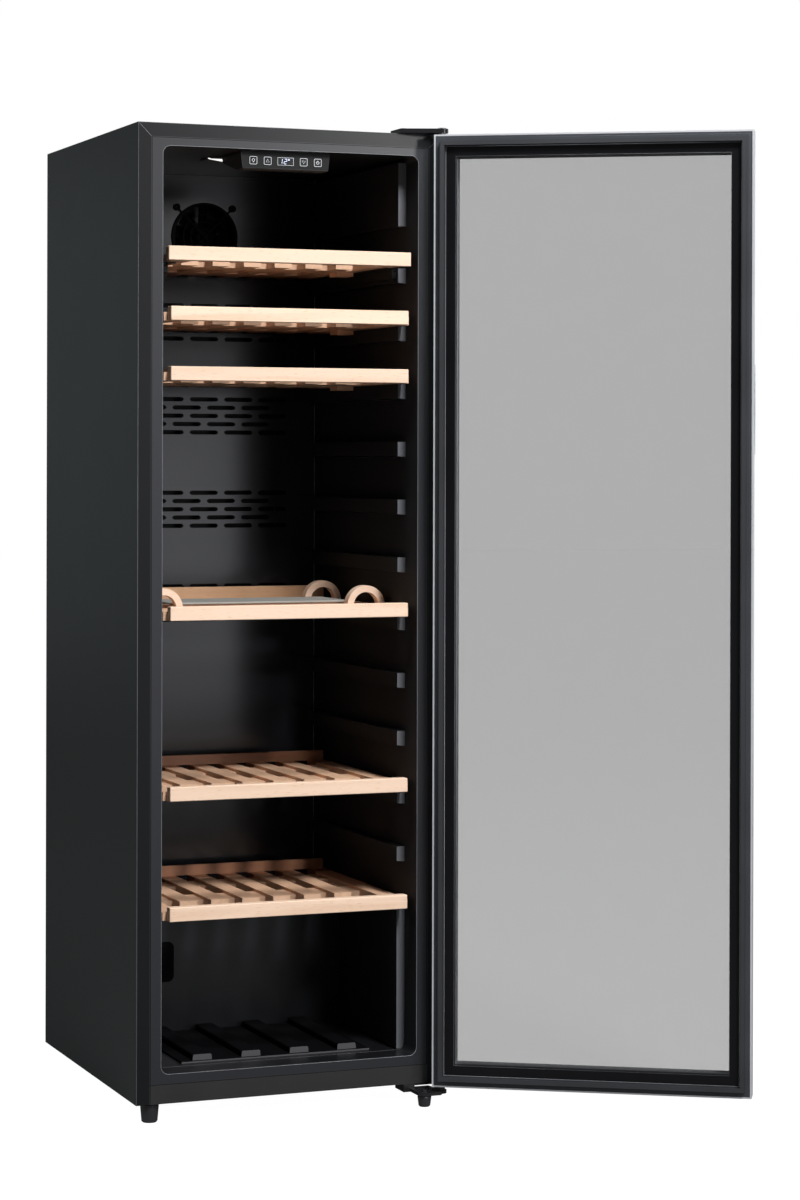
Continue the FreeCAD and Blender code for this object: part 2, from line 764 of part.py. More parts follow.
def bottle_tray():
    """Floor tray with four raised ribs that the lowest bottles stand on."""
    made = body("bottle_tray")
    reach = rib_tip - tray_side_gap
    floor = opening_bottom + seat_gap
    top = floor + 3
    plate = sketch(made, "XY_Plane", floor)
    rectangle(plate, -reach, 80, reach, step_y - 3)
    pad(made, plate, 3)
    drawing = sketch(made, "XZ_Plane", 88)
    pitch = (reach * 2 + 10.4) / 4
    x = -pitch * 1.5
    outline(drawing, [(x - 19, top - 1), (x + 19, top - 1), (x + 18, top + 9.5), (x + 15.5, top + 11),
                      (x - 15.5, top + 11), (x - 18, top + 9.5)])
    ridge = pad(made, drawing, step_y - 6 - 88)
    transformed(made, [ridge], row(ridge, "H_Axis", pitch, 4))
    return finish(in_cabinet(made), "bottle_tray")


def return_vent():
    """Round-cornered black air intake on the front face of the step."""
    made = body("return_vent")
    bezel = sketch(made, "XZ_Plane", step_y - 2.5)
    left = 4.5 - rib_tip
    rounded_rectangle(bezel, left, 153, left + 120, 231, 12)
    pad(made, bezel, 2.5)
    slit = sketch(made, "XZ_Plane", step_y - 3)
    rectangle(slit, left + 12, 166, left + 108, 171)
    louvre = pocket(made, slit, 2)
    transformed(made, [louvre], row(louvre, "V_Axis", 12, 5))
    return finish(in_cabinet(made), "return_vent")


# ---------------------------------------------------------------- machine space

compressor_x = as_size(110)
compressor_y = cabinet_depth - 130
pan_top = as_size(1.5)
mount_height = size("mount_height", 14)


def compressor():
    """Welded dome on its foot plate."""
    made = body("compressor")
    profile = sketch(made, "XZ_Plane")
    outline(profile, [(0, 3), (62, 3), (70, 12), (74, 40), (76, 42), (76, 90), (74, 92),
                      (70, 130), (56, 150), (30, 158), (0, 160)])
    revolve(made, profile)
    plate = sketch(made, "XY_Plane")
    rounded_rectangle(plate, -100, -68, 100, 68, 10)
    pad(made, plate, 3)
    in_frame(made, compressor_x, front_y + compressor_y, foot_height + pan_top + mount_height)
    return finish(made, "compressor")


def compressor_grommets():
    """Four rubber sleeves between the compressor's foot plate and the base pan."""
    sleeves = []
    for n, (sx, sy) in enumerate(((-1, -1), (1, -1), (1, 1), (-1, 1))):
        made = body(f"grommet_{n}")
        profile = sketch(made, "XZ_Plane")
        outline(profile, [(3, 0), (11, 0), (11, 4), (8, 6), (8, mount_height - 4),
                          (11, mount_height - 2), (11, mount_height), (3, mount_height)])
        revolve(made, profile)
        sleeves.append(in_frame(made, compressor_x + 84 * sx, compressor_y + 54 * sy, pan_top))
    return finish(in_cabinet(group("compressor_grommets", *sleeves)), "compressor_grommets")


def condenser():
    """Finned block on three cross tubes, standing on the base pan."""
    x, y = as_size(-235), cabinet_depth - 215
    fins = [box("fin", (x + 13 * n, y, pan_top), (x + 13 * n + 1.5, y + 170, pan_top + 170))
            for n in range(15)]
    tubes = [cylinder("tube", 5, (x - 8, y + 30 + 55 * column, pan_top + 40 + 50 * level), 198, "X")
             for column in range(3) for level in range(3)]
    return finish(in_cabinet(fuse("condenser", *fins, *tubes)), "condenser")


def evaporation_tray():
    """Open tray on the compressor that catches the defrost water."""
    x, y = compressor_x, compressor_y
    low = pan_top + mount_height + 160
    outer = box("tray_outer", (x - 80, y - 60, low), (x + 80, y + 60, low + 32))
    inner = box("tray_inner", (x - 78, y - 58, low + 2), (x + 78, y + 58, low + 40))
    return finish(in_cabinet(cut("evaporation_tray", outer, inner)), "evaporation_tray")


# ---------------------------------------------------------------- controls and lamp

panel_half = size("panel_half", 88)
panel_y = size("panel_y", 41)
panel_tall = size("panel_tall", 32)
panel_taper = size("panel_taper", 3.5)
button_side = size("button_side", 16.6)
button_fit = size("button_fit", 0.2)
button_travel = size("button_travel", 1)
panel_skin = as_size(3)
BUTTONS = {"light_button": -63.5, "up_button": -35.5, "down_button": 35.5, "power_button": 63.5}
display_half = size("display_half", 16.8)
panel_mid = opening_top - panel_tall / 2 - 0.5
panel_inside = panel_half - panel_taper - panel_skin


def control_housing():
    """Moulded housing under the liner's roof; four buttons and a display in its front wall."""
    made = body("control_housing")
    top = opening_top - 0.3
    low = top - panel_tall
    profile = sketch(made, "YZ_Plane", -panel_half)
    outline(profile, [(panel_y, low + 1.5), (panel_y + 1.5, low), (panel_y + 34, low),
                      (panel_y + 110, top - 12), (panel_y + 110, top), (panel_y, top)])
    pad(made, profile, panel_half * 2)
    slant = sketch(made, "XZ_Plane", panel_y - 1)
    outline(slant, [(-panel_half - 1, low - 1), (-panel_half + panel_taper + 2, low - 1),
                    (-panel_half + panel_taper, low + 2), (-panel_half, top - 2),
                    (-panel_half - 1, top - 2)])
    side_cut = pocket(made, slant, 112)
    transformed(made, [side_cut], MIRROR_X)
    inside = sketch(made, "YZ_Plane", -panel_inside)
    outline(inside, [(panel_y + panel_skin, low + panel_skin), (panel_y + 34, low + panel_skin),
                     (panel_y + 106, top - 9), (panel_y + 106, top + 1),
                     (panel_y + panel_skin, top + 1)])
    pocket(made, inside, panel_inside * 2)
    half = button_side / 2 + button_fit
    openings = sketch(made, "XZ_Plane", panel_y - 1)
    for x in BUTTONS.values():
        rectangle_at(openings, x - half, panel_mid - half, x + half, panel_mid + half)
    wide = display_half + button_fit
    rectangle_at(openings, -wide, panel_mid - half, wide, panel_mid + half)
    pocket(made, openings, panel_skin + 2)
    return finish(in_cabinet(made), "control_housing")


def push_button(name, x):
    """Square cap with a retaining flange behind the panel and a stem towards its switch."""
    made = body(name)
    half = button_side / 2
    cap = sketch(made, "XZ_Plane", panel_y - 0.8)
    rounded_rectangle(cap, x - half, panel_mid - half, x + half, panel_mid + half, 2.5)
    pad(made, cap, panel_skin + 1.8)
    rim = sketch(made, "XZ_Plane", panel_y + panel_skin + 0.2)
    rectangle(rim, x - half - 1.5, panel_mid - half - 1.5, x + half + 1.5, panel_mid + half + 1.5)
    pad(made, rim, 1.3)
    stem = sketch(made, "XZ_Plane", panel_y + panel_skin + 1)
    circle(stem, x, panel_mid, 2.5)
    pad(made, stem, 5)
    return finish(in_cabinet(made), name)


def display_window():
    made = body("display_window")
    half = button_side / 2
    face = sketch(made, "XZ_Plane", panel_y - 0.3)
    rectangle(face, -display_half, panel_mid - half, display_half, panel_mid + half)
    pad(made, face, panel_skin + 0.8)
    rim = sketch(made, "XZ_Plane", panel_y + panel_skin)
    rectangle(rim, -display_half - 1.5, panel_mid - half - 1.5,
              display_half + 1.5, panel_mid + half + 1.5)
    pad(made, rim, 1.5)
    return finish(in_cabinet(made), "display_window")


def control_board():
    """Circuit board with four switches behind the buttons, on two rails of the housing."""
    back = panel_y + panel_skin + 6 + button_travel + 0.6
    board = box("board", (-panel_inside, back + 2, panel_mid - 10),
                (panel_inside, back + 3.6, panel_mid + 10))
    switches = [box("switch", (x - 4, back, panel_mid - 4), (x + 4, back + 3, panel_mid + 4))
                for x in BUTTONS.values()]
    return finish(in_cabinet(fuse("control_board", board, *switches)), "control_board")


def lamp_lens():
    made = body("lamp_lens")
    top = opening_top - 0.3
    drawing = sketch(made, "XZ_Plane", 168)
    outline(drawing, [(-108, top - 1.5), (-104, top - 3), (-50, top - 3), (-46, top - 1.5),
                      (-46, top), (-108, top)])
    pad(made, drawing, 56)
    return finish(in_cabinet(made), "lamp_lens")


# ---------------------------------------------------------------- feet and hinges

def foot(name, x, y, height, top_radius, taper, stud_length):
    """Levelling foot: round pad with an eased tread, tapered or straight, and a threaded stud."""
    made = body(name)
    profile = sketch(made, "XZ_Plane")
    stud = as_size(4)
    sole = top_radius - taper
    outline(profile, [(0, 0), (sole - 2, 0), (sole, 2), (top_radius, height - 3),
                      (top_radius - 1.5, height - 0.5), (stud, height - 0.5),
                      (stud, height + stud_length), (0, height + stud_length)])
    revolve(made, profile)
    return in_frame(made, x, front_y + y, 0)


hinge_x = half_width - hinge_side
arm_top = as_size(-8)
arm_thick = size("arm_thick", 6)
plate_thick = size("plate_thick", 8)


def feet():
    front_x = -half_width + 32
    left = foot("front_left_foot", front_x, 22, foot_height, 17.3, 2.6, 0)
    finish(left, "front_left_foot")
    right = foot("front_right_foot", hinge_x - 34, -hinge_front - 8,
                 foot_height + arm_top - arm_thick, 13, 2, arm_thick + 3)
    finish(right, "front_right_foot")
    reach = half_width - rear_foot_side_inset
    pair = [foot(f"rear_foot_{n}", reach * side, cabinet_depth - rear_foot_inset, foot_height, 15.5, 0, 0)
            for n, side in enumerate((-1, 1))]
    finish(group("rear_feet", *pair), "rear_feet")


def bottom_hinge():
    """Pressed bracket under the base with a forward arm that carries the pin and a foot."""
    x, y = hinge_x, -hinge_front
    under = box("hinge_under", (x - 62, 2, -4), (x + 6, 70, 0))
    block = box("hinge_block", (x - 62, -4, arm_top - arm_thick), (x - 40, 40, 0))
    made = body("hinge_arm")
    plan = sketch(made, "XY_Plane", arm_top - arm_thick)
    outline(plan, [(x - 48, 12), (x - 48, y - 16), (x - 42, y - 22), (x - 6, y - 22), (x, y - 13, -13),
                   (x, y + 13), (x - 6, 12)])
    pad(made, plan, arm_thick)
    pin_hole = cylinder("arm_pin_hole", pin_radius_size, (x, y, arm_top - 20), 30)
    stud_hole = cylinder("arm_stud_hole", 4.05, (x - 34, y - 8, arm_top - 20), 30)
    bracket = cut("bottom_hinge_bracket", fuse("arm_and_base", under, block, made),
                  pin_hole, stud_hole)
    finish(in_cabinet(bracket), "bottom_hinge_bracket")
    return cylinder("lower_hinge_pin", pin_radius_size,
                    (x, front_y + y, foot_height + arm_top - arm_thick), arm_thick + 28)


def top_hinge(lower_pin):
    """Flat plate screwed to the case top, with a headed pin down into the door."""
    x, y = hinge_x, -hinge_front
    made = body("hinge_plate")
    plan = sketch(made, "XY_Plane", cabinet_height)
    outline(plan, [(x - 76, 40), (x - 76, -10), (x - 70, -14), (x - 14, y - 6), (x, y - 12, -12),
                   (x, y + 12), (x + 8, y + 20), (x + 8, 40)])
    pad(made, plan, plate_thick)
    tools = [cylinder("plate_pin_hole", pin_radius_size, (x, y, cabinet_height - 5), 20)]
    plate = cut("top_hinge_bracket", made, *tools)
    finish(in_cabinet(plate), "top_hinge_bracket")
    turned = body("top_hinge_pin")
    profile = sketch(turned, "XZ_Plane")
    low = door_height - 20
    top = cabinet_height + plate_thick
    outline(profile, [(0, low), (pin_radius_size - 1, low), (pin_radius_size, low + 1),
                      (pin_radius_size, top), (8, top), (8, top + 1), (7, top + 1.8), (0, top + 1.8)])
    revolve(turned, profile)
    in_frame(turned, x, front_y + y, foot_height)
    finish(group("hinge_pins", lower_pin, turned), "hinge_pins")


def hinge_screws():
    """Six pan-head screws: three in the top plate and three under the base."""
    screws = []
    top = cabinet_height + plate_thick
    for x, y in ((-62, 12), (-30, 26), (-4, 12)):
        head = cylinder("screw_head", 5, (hinge_x + x, y, top), 3)
        screws.append(head)
    for x, y in ((-30, 20), (-4, 20), (-18, 55)):
        screws.append(cylinder("screw_head", 5, (hinge_x + x, y, -7), 3))
    return finish(in_cabinet(group("hinge_screws", *screws)), "hinge_screws")


# ---------------------------------------------------------------- door

def on_door(obj):
    """Place an object drawn about the pin axis, with the shut door's underside as its base."""
    obj.Placement = FreeCAD.Placement(Vector(), FreeCAD.Rotation(Z_AXIS, door_open_angle.number))
    bind(obj, "Placement.Rotation.Angle", door_open_angle)
    return in_frame(obj, hinge_x, front_y - hinge_front, foot_height)


door_right = hinge_side
door_left = hinge_side - door_width
door_inner = hinge_front - door_gap
door_outer = door_inner - door_thick
pane_outer = door_outer + door_skin
pane_inner = pane_outer + pane_thick + pane_gap
gasket_edge = size("gasket_edge", 12)
gasket_wide = size("gasket_wide", 10)


def ring(owner, y0, y1, outer, inner):
    """A rectangular ring in the door's plane, set in from the door's outline."""
    drawing = sketch(owner, "XZ_Plane", y0)
    for inset in (as_size(outer), as_size(inner)):
        rectangle_at(drawing, door_left + inset, inset, door_right - inset, door_height - inset)
    return pad(owner, drawing, as_size(y1) - y0)


def pin_holes(owner, radius):
    drawing = sketch(owner, "XY_Plane", -1)
    circle(drawing, 0, 0, radius)
    pocket(owner, drawing, door_height + 2)
    return owner


def door_outer_frame():
    """Stainless front border with folded edges and a narrow lip around the inner side."""
    made = body("door_outer_frame")
    ring(made, door_outer, pane_outer, 0, door_border + 1)
    ring(made, door_outer, door_inner, 0, door_skin)
    ring(made, door_inner - door_skin, door_inner, 0, door_lip)
    pin_holes(made, bush_radius - 0.5)
    return finish(on_door(made), "door_outer_frame")


bead_edge = size("bead_edge", 22.5)


def door_inner_frame():
    """Plastic profile that fills the border, holds the panes' edges and carries the gasket."""
    made = body("door_inner_frame")
    ring(made, pane_outer, door_inner - door_skin, door_skin, bead_edge)
    ring(made, door_inner - door_skin, door_inner, door_lip, bead_edge)
    ring(made, pane_outer, pane_inner + pane_thick, bead_edge, pane_edge - 0.5)
    hole = sketch(made, "XY_Plane", -1)
    circle(hole, 0, 0, bush_radius - 0.5)
    pocket(made, hole, bead_edge + 3)
    upper = sketch(made, "XY_Plane", door_height - bead_edge - 2)
    circle(upper, 0, 0, bush_radius - 0.5)
    pocket(made, upper, bead_edge + 3)
    return finish(on_door(made), "door_inner_frame")


def glazing_bead():
    """Black bead that holds the inner pane."""
    made = body("glazing_bead")
    ring(made, pane_inner + pane_thick, door_inner, bead_edge, door_border)
    return finish(on_door(made), "glazing_bead")


def pane(name, y):
    made = body(name)
    drawing = sketch(made, "XZ_Plane", y)
    rectangle(drawing, door_left + pane_edge, pane_edge, door_right - pane_edge,
              door_height - pane_edge)
    pad(made, drawing, pane_thick)
    return finish(on_door(made), name)


def glass_spacer():
    made = body("glass_spacer")
    ring(made, pane_outer + pane_thick, pane_inner, pane_edge + 1, door_border - 1)
    return finish(on_door(made), "glass_spacer")


def door_gasket():
    """Magnetic gasket: base strip, bellows neck and magnet head."""
    made = body("door_gasket")
    outer = gasket_edge
    inner = gasket_edge + gasket_wide
    ring(made, door_inner, door_inner + 3, outer, inner)
    ring(made, door_inner + 2.5, door_inner + 7, outer + 3.5, inner - 3)
    ring(made, door_inner + 6.5, door_inner + door_gap - seat_gap, outer + 1, inner - 1)
    return finish(on_door(made), "door_gasket")


handle_low = size("handle_low", 1184)
handle_long = size("handle_long", 167)
handle_wide = size("handle_wide", 22)
handle_reach = size("handle_reach", 38)


def door_handle():
    """Bowed bar on two integral posts, flush with the door's free edge."""
    made = body("handle_bar")
    drawing = sketch(made, "YZ_Plane", door_left + 0.5)
    z0 = handle_low
    z1 = handle_low + handle_long
    far = door_outer - handle_reach
    post = as_size(16)
    bow = as_size(5)
    outline(drawing, [(door_outer, z0), (far + bow, z0, bow), (far + bow, z1), (door_outer, z1),
                      (door_outer, z1 - post), (far + 10 + bow, z1 - post, -bow + 1),
                      (far + 10 + bow, z0 + post), (door_outer, z0 + post)])
    pad(made, drawing, handle_wide)
    doc.recompute()
    rounded = doc.addObject("Part::Fillet", "handle_rounded")
    rounded.Base = made
    sides = [door_left.number + 0.5, (door_left + 0.5 + handle_wide).number]
    chosen = []
    for index, edge in enumerate(made.Shape.Edges):
        bounds = edge.BoundBox
        flat = bounds.XLength < 0.01 and min(abs(bounds.XMin - side) for side in sides) < 0.01
        if flat and bounds.YMax < door_outer.number - 1e-3:
            chosen.append((index + 1, 2.5, 2.5))
    rounded.Edges = chosen
    return finish(on_door(rounded), "door_handle")


def door_bushes():
    """Plastic bushes for the two pins; the lower one's collar carries the door on the arm."""
    made = body("lower_bush")
    profile = sketch(made, "XZ_Plane")
    bore = pin_radius_size + pin_clearance
    outer = bush_radius - 0.5
    outline(profile, [(bore, arm_top + seat_gap), (bush_radius + 1, arm_top + seat_gap),
                      (bush_radius + 1, 0), (outer, 0), (outer, 20.5), (bore, 20.5)])
    revolve(made, profile)
    upper = body("upper_bush")
    top = sketch(upper, "XZ_Plane")
    outline(top, [(bore, door_height - 22), (outer, door_height - 22), (outer, door_height),
                  (bush_radius + 1, door_height), (bush_radius + 1, door_height + 1.5),
                  (bore, door_height + 1.5)])
    revolve(upper, top)
    return finish(on_door(group("door_bushes", made, upper)), "door_bushes")


# ---------------------------------------------------------------- shelves

SHELVES = {1: 0, 2: 1, 3: 2, 4: 6, 5: 9, 6: 11}
slide_thick = size("slide_thick", 12.5)
slide_rear_gap = size("slide_rear_gap", 18)
slide_length = cover_y - rib_start - slide_rear_gap
slide_flange = size("slide_flange", 16)
stop_wide = size("stop_wide", 34)
stop_tall = size("stop_tall", 8)
stop_side_gap = size("stop_side_gap", 1)


def on_level(obj, level):
    """Place an object drawn from the top of its support rib."""
    return in_frame(obj, 0, front_y, foot_height + rib_top - rib_pitch * level + seat_gap)


def eased(block, bevel=1.0):
    """The block with its twelve edges broken."""
    made = doc.addObject("Part::Chamfer", f"{block.Name}_eased")
    made.Base = block
    made.Edges = [(edge, bevel, bevel) for edge in range(1, 13)]
    return made


def rack_half(number):
    """Half the width of a rack: the top one leaves room for its slides."""
    return rib_tip - slide_thick - seat_gap if number == 1 else rack_width / 2


def end_boards(number, level):
    """The fascia across the front and the upright board glued along the rear edge."""
    wide = fascia_width + (9 if number == 1 else 0)
    front = box("fascia", (-wide / 2, fascia_y, 0), (wide / 2, fascia_y + fascia_thick, fascia_tall))
    half = rack_half(number) - 4
    tall = rear_board_tall + (5.5 if number == 4 else 0)
    rear = box("rear_board", (-half, rack_end - 12, rack_thick), (half, rack_end, rack_thick + tall))
    return finish(on_level(group("boards", eased(front), rear), level), f"shelf_{number}_boards")


def rack_sides(half):
    start = fascia_y + fascia_thick
    return [box("side_rail", (x0, start, 0), (x0 + side_rail, rack_end, rack_thick))
            for x0 in (-half, half - side_rail)]


def cross_pieces(half, rows):
    inner = half - side_rail
    return [box("crossbar", (-inner, y, 0), (inner, y + crossbar_deep, rack_thick - 5.5))
            for y in rows]


def rack_stops(outer, y):
    """Two blocks under the side rails that run just inside the support ribs."""
    return [box("rack_stop", (low, y, -stop_tall), (low + stop_wide, y + 40, 5))
            for low in (-outer, outer - stop_wide)]


def slatted_rack(number, level):
    """Two side rails, two crossbars, six slats and two stops."""
    half = rack_half(number)
    if number > 1:
        stops = rack_stops(rib_tip - stop_side_gap, rack_end - 188)
    else:
        stops = rack_stops(half - slide_flange - stop_side_gap, rack_end - 262)
    pieces = rack_sides(half) + cross_pieces(half, (slat_start + 45, rack_end - 125)) + stops
    for n in range(SLATS):
        x = slat_pitch * (n - (SLATS - 1) / 2)
        pieces.append(box("slat", (x - slat_width / 2, slat_start, 0),
                          (x + slat_width / 2, rack_end, rack_thick)))
    return finish(on_level(fuse("rack", *pieces), level), f"shelf_{number}_rack")


arch_outer = size("arch_outer", 38)
arch_inner = size("arch_inner", 25.5)
arch_row_front = size("arch_row_front", 145)
arch_row_rear_gap = size("arch_row_rear_gap", 101)
arch_x = rack_width / 2 - arch_outer
arch_rows = (arch_row_front, rack_end - arch_row_rear_gap)
panel_lift = size("panel_lift", 5)
panel_board = size("panel_board", 4)


def display_shelf(level):
    """Shelf with a flat panel between four half-ring bottle cradles."""
    half = rack_half(4)
    pieces = rack_sides(half) + [
        box("bridge", (-half + side_rail, y - 8, 0), (half - side_rail, y + 28, rack_thick))
        for y in arch_rows]
    pieces.append(box("rear_bar", (-half + side_rail, rack_end - 30, 0),
                      (half - side_rail, rack_end, rack_thick)))
    front, rear = arch_rows[0] + 31, arch_rows[1] - 55
    for y in (front + 6, rear - 24):
        pieces.append(box("bearer", (-half + side_rail, y, 4),
                          (half - side_rail, y + 18, rack_thick + panel_lift)))
    finish(on_level(fuse("frame", *pieces), level), "shelf_4_frame")
    reach = arch_x - 25
    low = rack_thick + panel_lift
    panel = eased(box("panel", (-reach, front, low), (reach, rear, low + panel_board)))
    finish(on_level(panel, level), "shelf_4_panel")
    arches = []
    for side in (-1, 1):
        for y in arch_rows:
            made = body("arch")
            drawing = sketch(made, "XZ_Plane", y)
            x, z = arch_x * side, rack_thick
            outline(drawing, [(x - arch_outer, z, arch_outer), (x + arch_outer, z),
                              (x + arch_inner, z, -arch_inner), (x - arch_inner, z)])
            pad(made, drawing, 20)
            arches.append(made)
    finish(on_level(group("arches", *arches), level), "shelf_4_arches")


def slide_section(name, inset, half_height, web, reach, hook):
    """One C-section member of a telescopic slide on the right wall, open towards the shelf."""
    made = body(name)
    wall_x = rib_tip - seat_gap - inset
    drawing = sketch(made, "XZ_Plane", rib_start)
    mid = -rib_height / 2
    thick = as_size(web)
    outline(drawing, [(wall_x, mid - half_height), (wall_x, mid + half_height),
                      (wall_x - reach, mid + half_height), (wall_x - reach, mid + half_height - hook),
                      (wall_x - reach + thick, mid + half_height - hook),
                      (wall_x - reach + thick, mid + half_height - thick),
                      (wall_x - thick, mid + half_height - thick),
                      (wall_x - thick, mid - half_height + thick),
                      (wall_x - reach + thick, mid - half_height + thick),
                      (wall_x - reach + thick, mid - half_height + hook),
                      (wall_x - reach, mid - half_height + hook),
                      (wall_x - reach, mid - half_height)])
    pad(made, drawing, slide_length)
    return made


def slides():
    """Telescopic slides of the top shelf: fixed channel, middle member and inner member."""
    fixed = slide_section("channel", 0, as_size(13), 1.2, as_size(8.2), as_size(3))
    finish(on_level(group("slide_channels", fixed, mirrored_copy("channel_left", fixed)), 0),
           "slide_channels")
    middle = slide_section("middle", as_size(1.9), as_size(9.6), 1.2, as_size(8.6), as_size(3))
    finish(on_level(group("slide_middles", middle, mirrored_copy("middle_left", middle)), 0),
           "slide_middles")
    made = body("inner_member")
    drawing = sketch(made, "XZ_Plane", rib_start)
    wall_x = rib_tip - seat_gap
    mid = -rib_height / 2
    tip = wall_x - slide_thick
    half = as_size(6.2)
    flange_tip = tip - slide_flange
    outline(drawing, [(wall_x - 4.3, mid - half), (wall_x - 4.3, mid + half),
                      (tip + 1.5, mid + half), (tip + 1.5, -0.1), (flange_tip, -0.1),
                      (flange_tip, -1.6), (tip, -1.6), (tip, mid - half)])
    pad(made, drawing, slide_length)
    finish(on_level(group("slide_inners", made, mirrored_copy("inner_left", made)), 0),
           "slide_inners")


# ---------------------------------------------------------------- assembly

side_panel("left_side_panel", -1)
side_panel("right_side_panel", 1)
top_panel()
bottom_rail()
base_pan()
back_panel()
compressor_cover()
cord_gland()
inner_liner()
duct_cover()
fan_frame()
fan_rotor()
evaporator()
bottle_tray()
return_vent()
compressor()
compressor_grommets()
condenser()
evaporation_tray()
control_housing()
for button_name, button_x in BUTTONS.items():
    push_button(button_name, button_x)
display_window()
control_board()
lamp_lens()
feet()
top_hinge(bottom_hinge())
hinge_screws()
door_outer_frame()
door_inner_frame()
glazing_bead()
pane("outer_glass", pane_outer)
pane("inner_glass", pane_inner)
glass_spacer()
door_gasket()
door_handle()
door_bushes()
for shelf, shelf_level in SHELVES.items():
    end_boards(shelf, shelf_level)
    if shelf == 4:
        display_shelf(shelf_level)
    else:
        slatted_rack(shelf, shelf_level)
slides()

doc.recompute()
faults = [f"{item.Label}: {item.State}" for item in doc.Objects
          if "Invalid" in item.State or "Error" in item.State]
faults += [f"{part.Label}: bad shape" for part in PARTS
           if part.Shape.isNull() or not part.Shape.isValid() or not part.Shape.Solids]
if faults:
    raise RuntimeError("; ".join(faults))
os.makedirs("parts", exist_ok=True)
for part in PARTS:
    part.Shape.exportStep(f"parts/{part.Label}.step")
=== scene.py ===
import json
import math

import bpy
from mathutils import Matrix, Vector


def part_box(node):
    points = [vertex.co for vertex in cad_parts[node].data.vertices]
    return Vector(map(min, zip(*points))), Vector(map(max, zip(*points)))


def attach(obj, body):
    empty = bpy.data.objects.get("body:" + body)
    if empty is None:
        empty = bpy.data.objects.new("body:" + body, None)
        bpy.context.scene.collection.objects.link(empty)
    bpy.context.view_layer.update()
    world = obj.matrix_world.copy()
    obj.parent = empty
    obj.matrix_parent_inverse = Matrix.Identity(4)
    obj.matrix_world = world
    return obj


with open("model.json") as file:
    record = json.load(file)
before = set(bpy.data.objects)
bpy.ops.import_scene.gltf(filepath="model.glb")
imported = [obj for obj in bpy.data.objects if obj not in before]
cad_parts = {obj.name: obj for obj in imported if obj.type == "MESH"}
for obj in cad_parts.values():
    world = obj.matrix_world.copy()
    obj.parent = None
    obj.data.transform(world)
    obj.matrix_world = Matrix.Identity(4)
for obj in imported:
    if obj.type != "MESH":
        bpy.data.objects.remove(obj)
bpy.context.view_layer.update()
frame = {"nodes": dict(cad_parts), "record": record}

MM = 0.001

# Places on the cooler that the frame doesn't give.
LINER_BORDER = 22 * MM      # liner: from its outer edge to the mouth
FLANGE_DEPTH = 8 * MM       # liner: how deep its front flange counts as front; there its paler colour is a painted highlight
MOUTH_CORNER = 15 * MM      # liner: radius of the mouth's corners
RIB_START = 62 * MM         # liner: from its front face to the ends of the shelf ribs
REAR_BOARD_Y = -150 * MM    # shelves: a rear board lies behind this, where its painted shade begins
SHELF_PITCH = 109.75 * MM
SLAT_PITCH = 61.8 * MM
DOOR_FACE = 18 * MM         # door: from the hinge axis to the inner face, when shut
PROUD = 0.2 * MM            # seams: how far those under the door gasket stand out
PRINT_LIFT = 0.05 * MM      # prints: how far the middle of a line lies in front of its surface

# The lit part of the ceiling lamp.
WEDGE_LENGTH = 52 * MM
WEDGE_TIP = 9 * MM
WEDGE_SLOPE = 0.9

WHITE = (1.0, 1.0, 1.0)
REAR_SHADE_TONE = (0.41, 0.26, 0.19)    # beech: painted shade on the rear boards, which lie in shade
PALE_REAR_SHADE = (0.86, 0.72, 0.55)    # beech: milder painted shade on the rear board of shelf 4, which catches more light
FLECK_TONE = (0.82, 0.72, 0.62)   # beech: tint of the short dark flecks
UNDERSIDE_SHADE = 0.55                 # beech: painted shade, how bright the undersides are painted
CASE_BLACK = (0.0064, 0.0069, 0.0078)
TOP_ROUGHNESS = 0.62              # case: roughness of what faces straight up


# ---------------------------------------------------------------- shader graphs

def toned(colour, factor):
    return tuple(channel * factor for channel in colour)


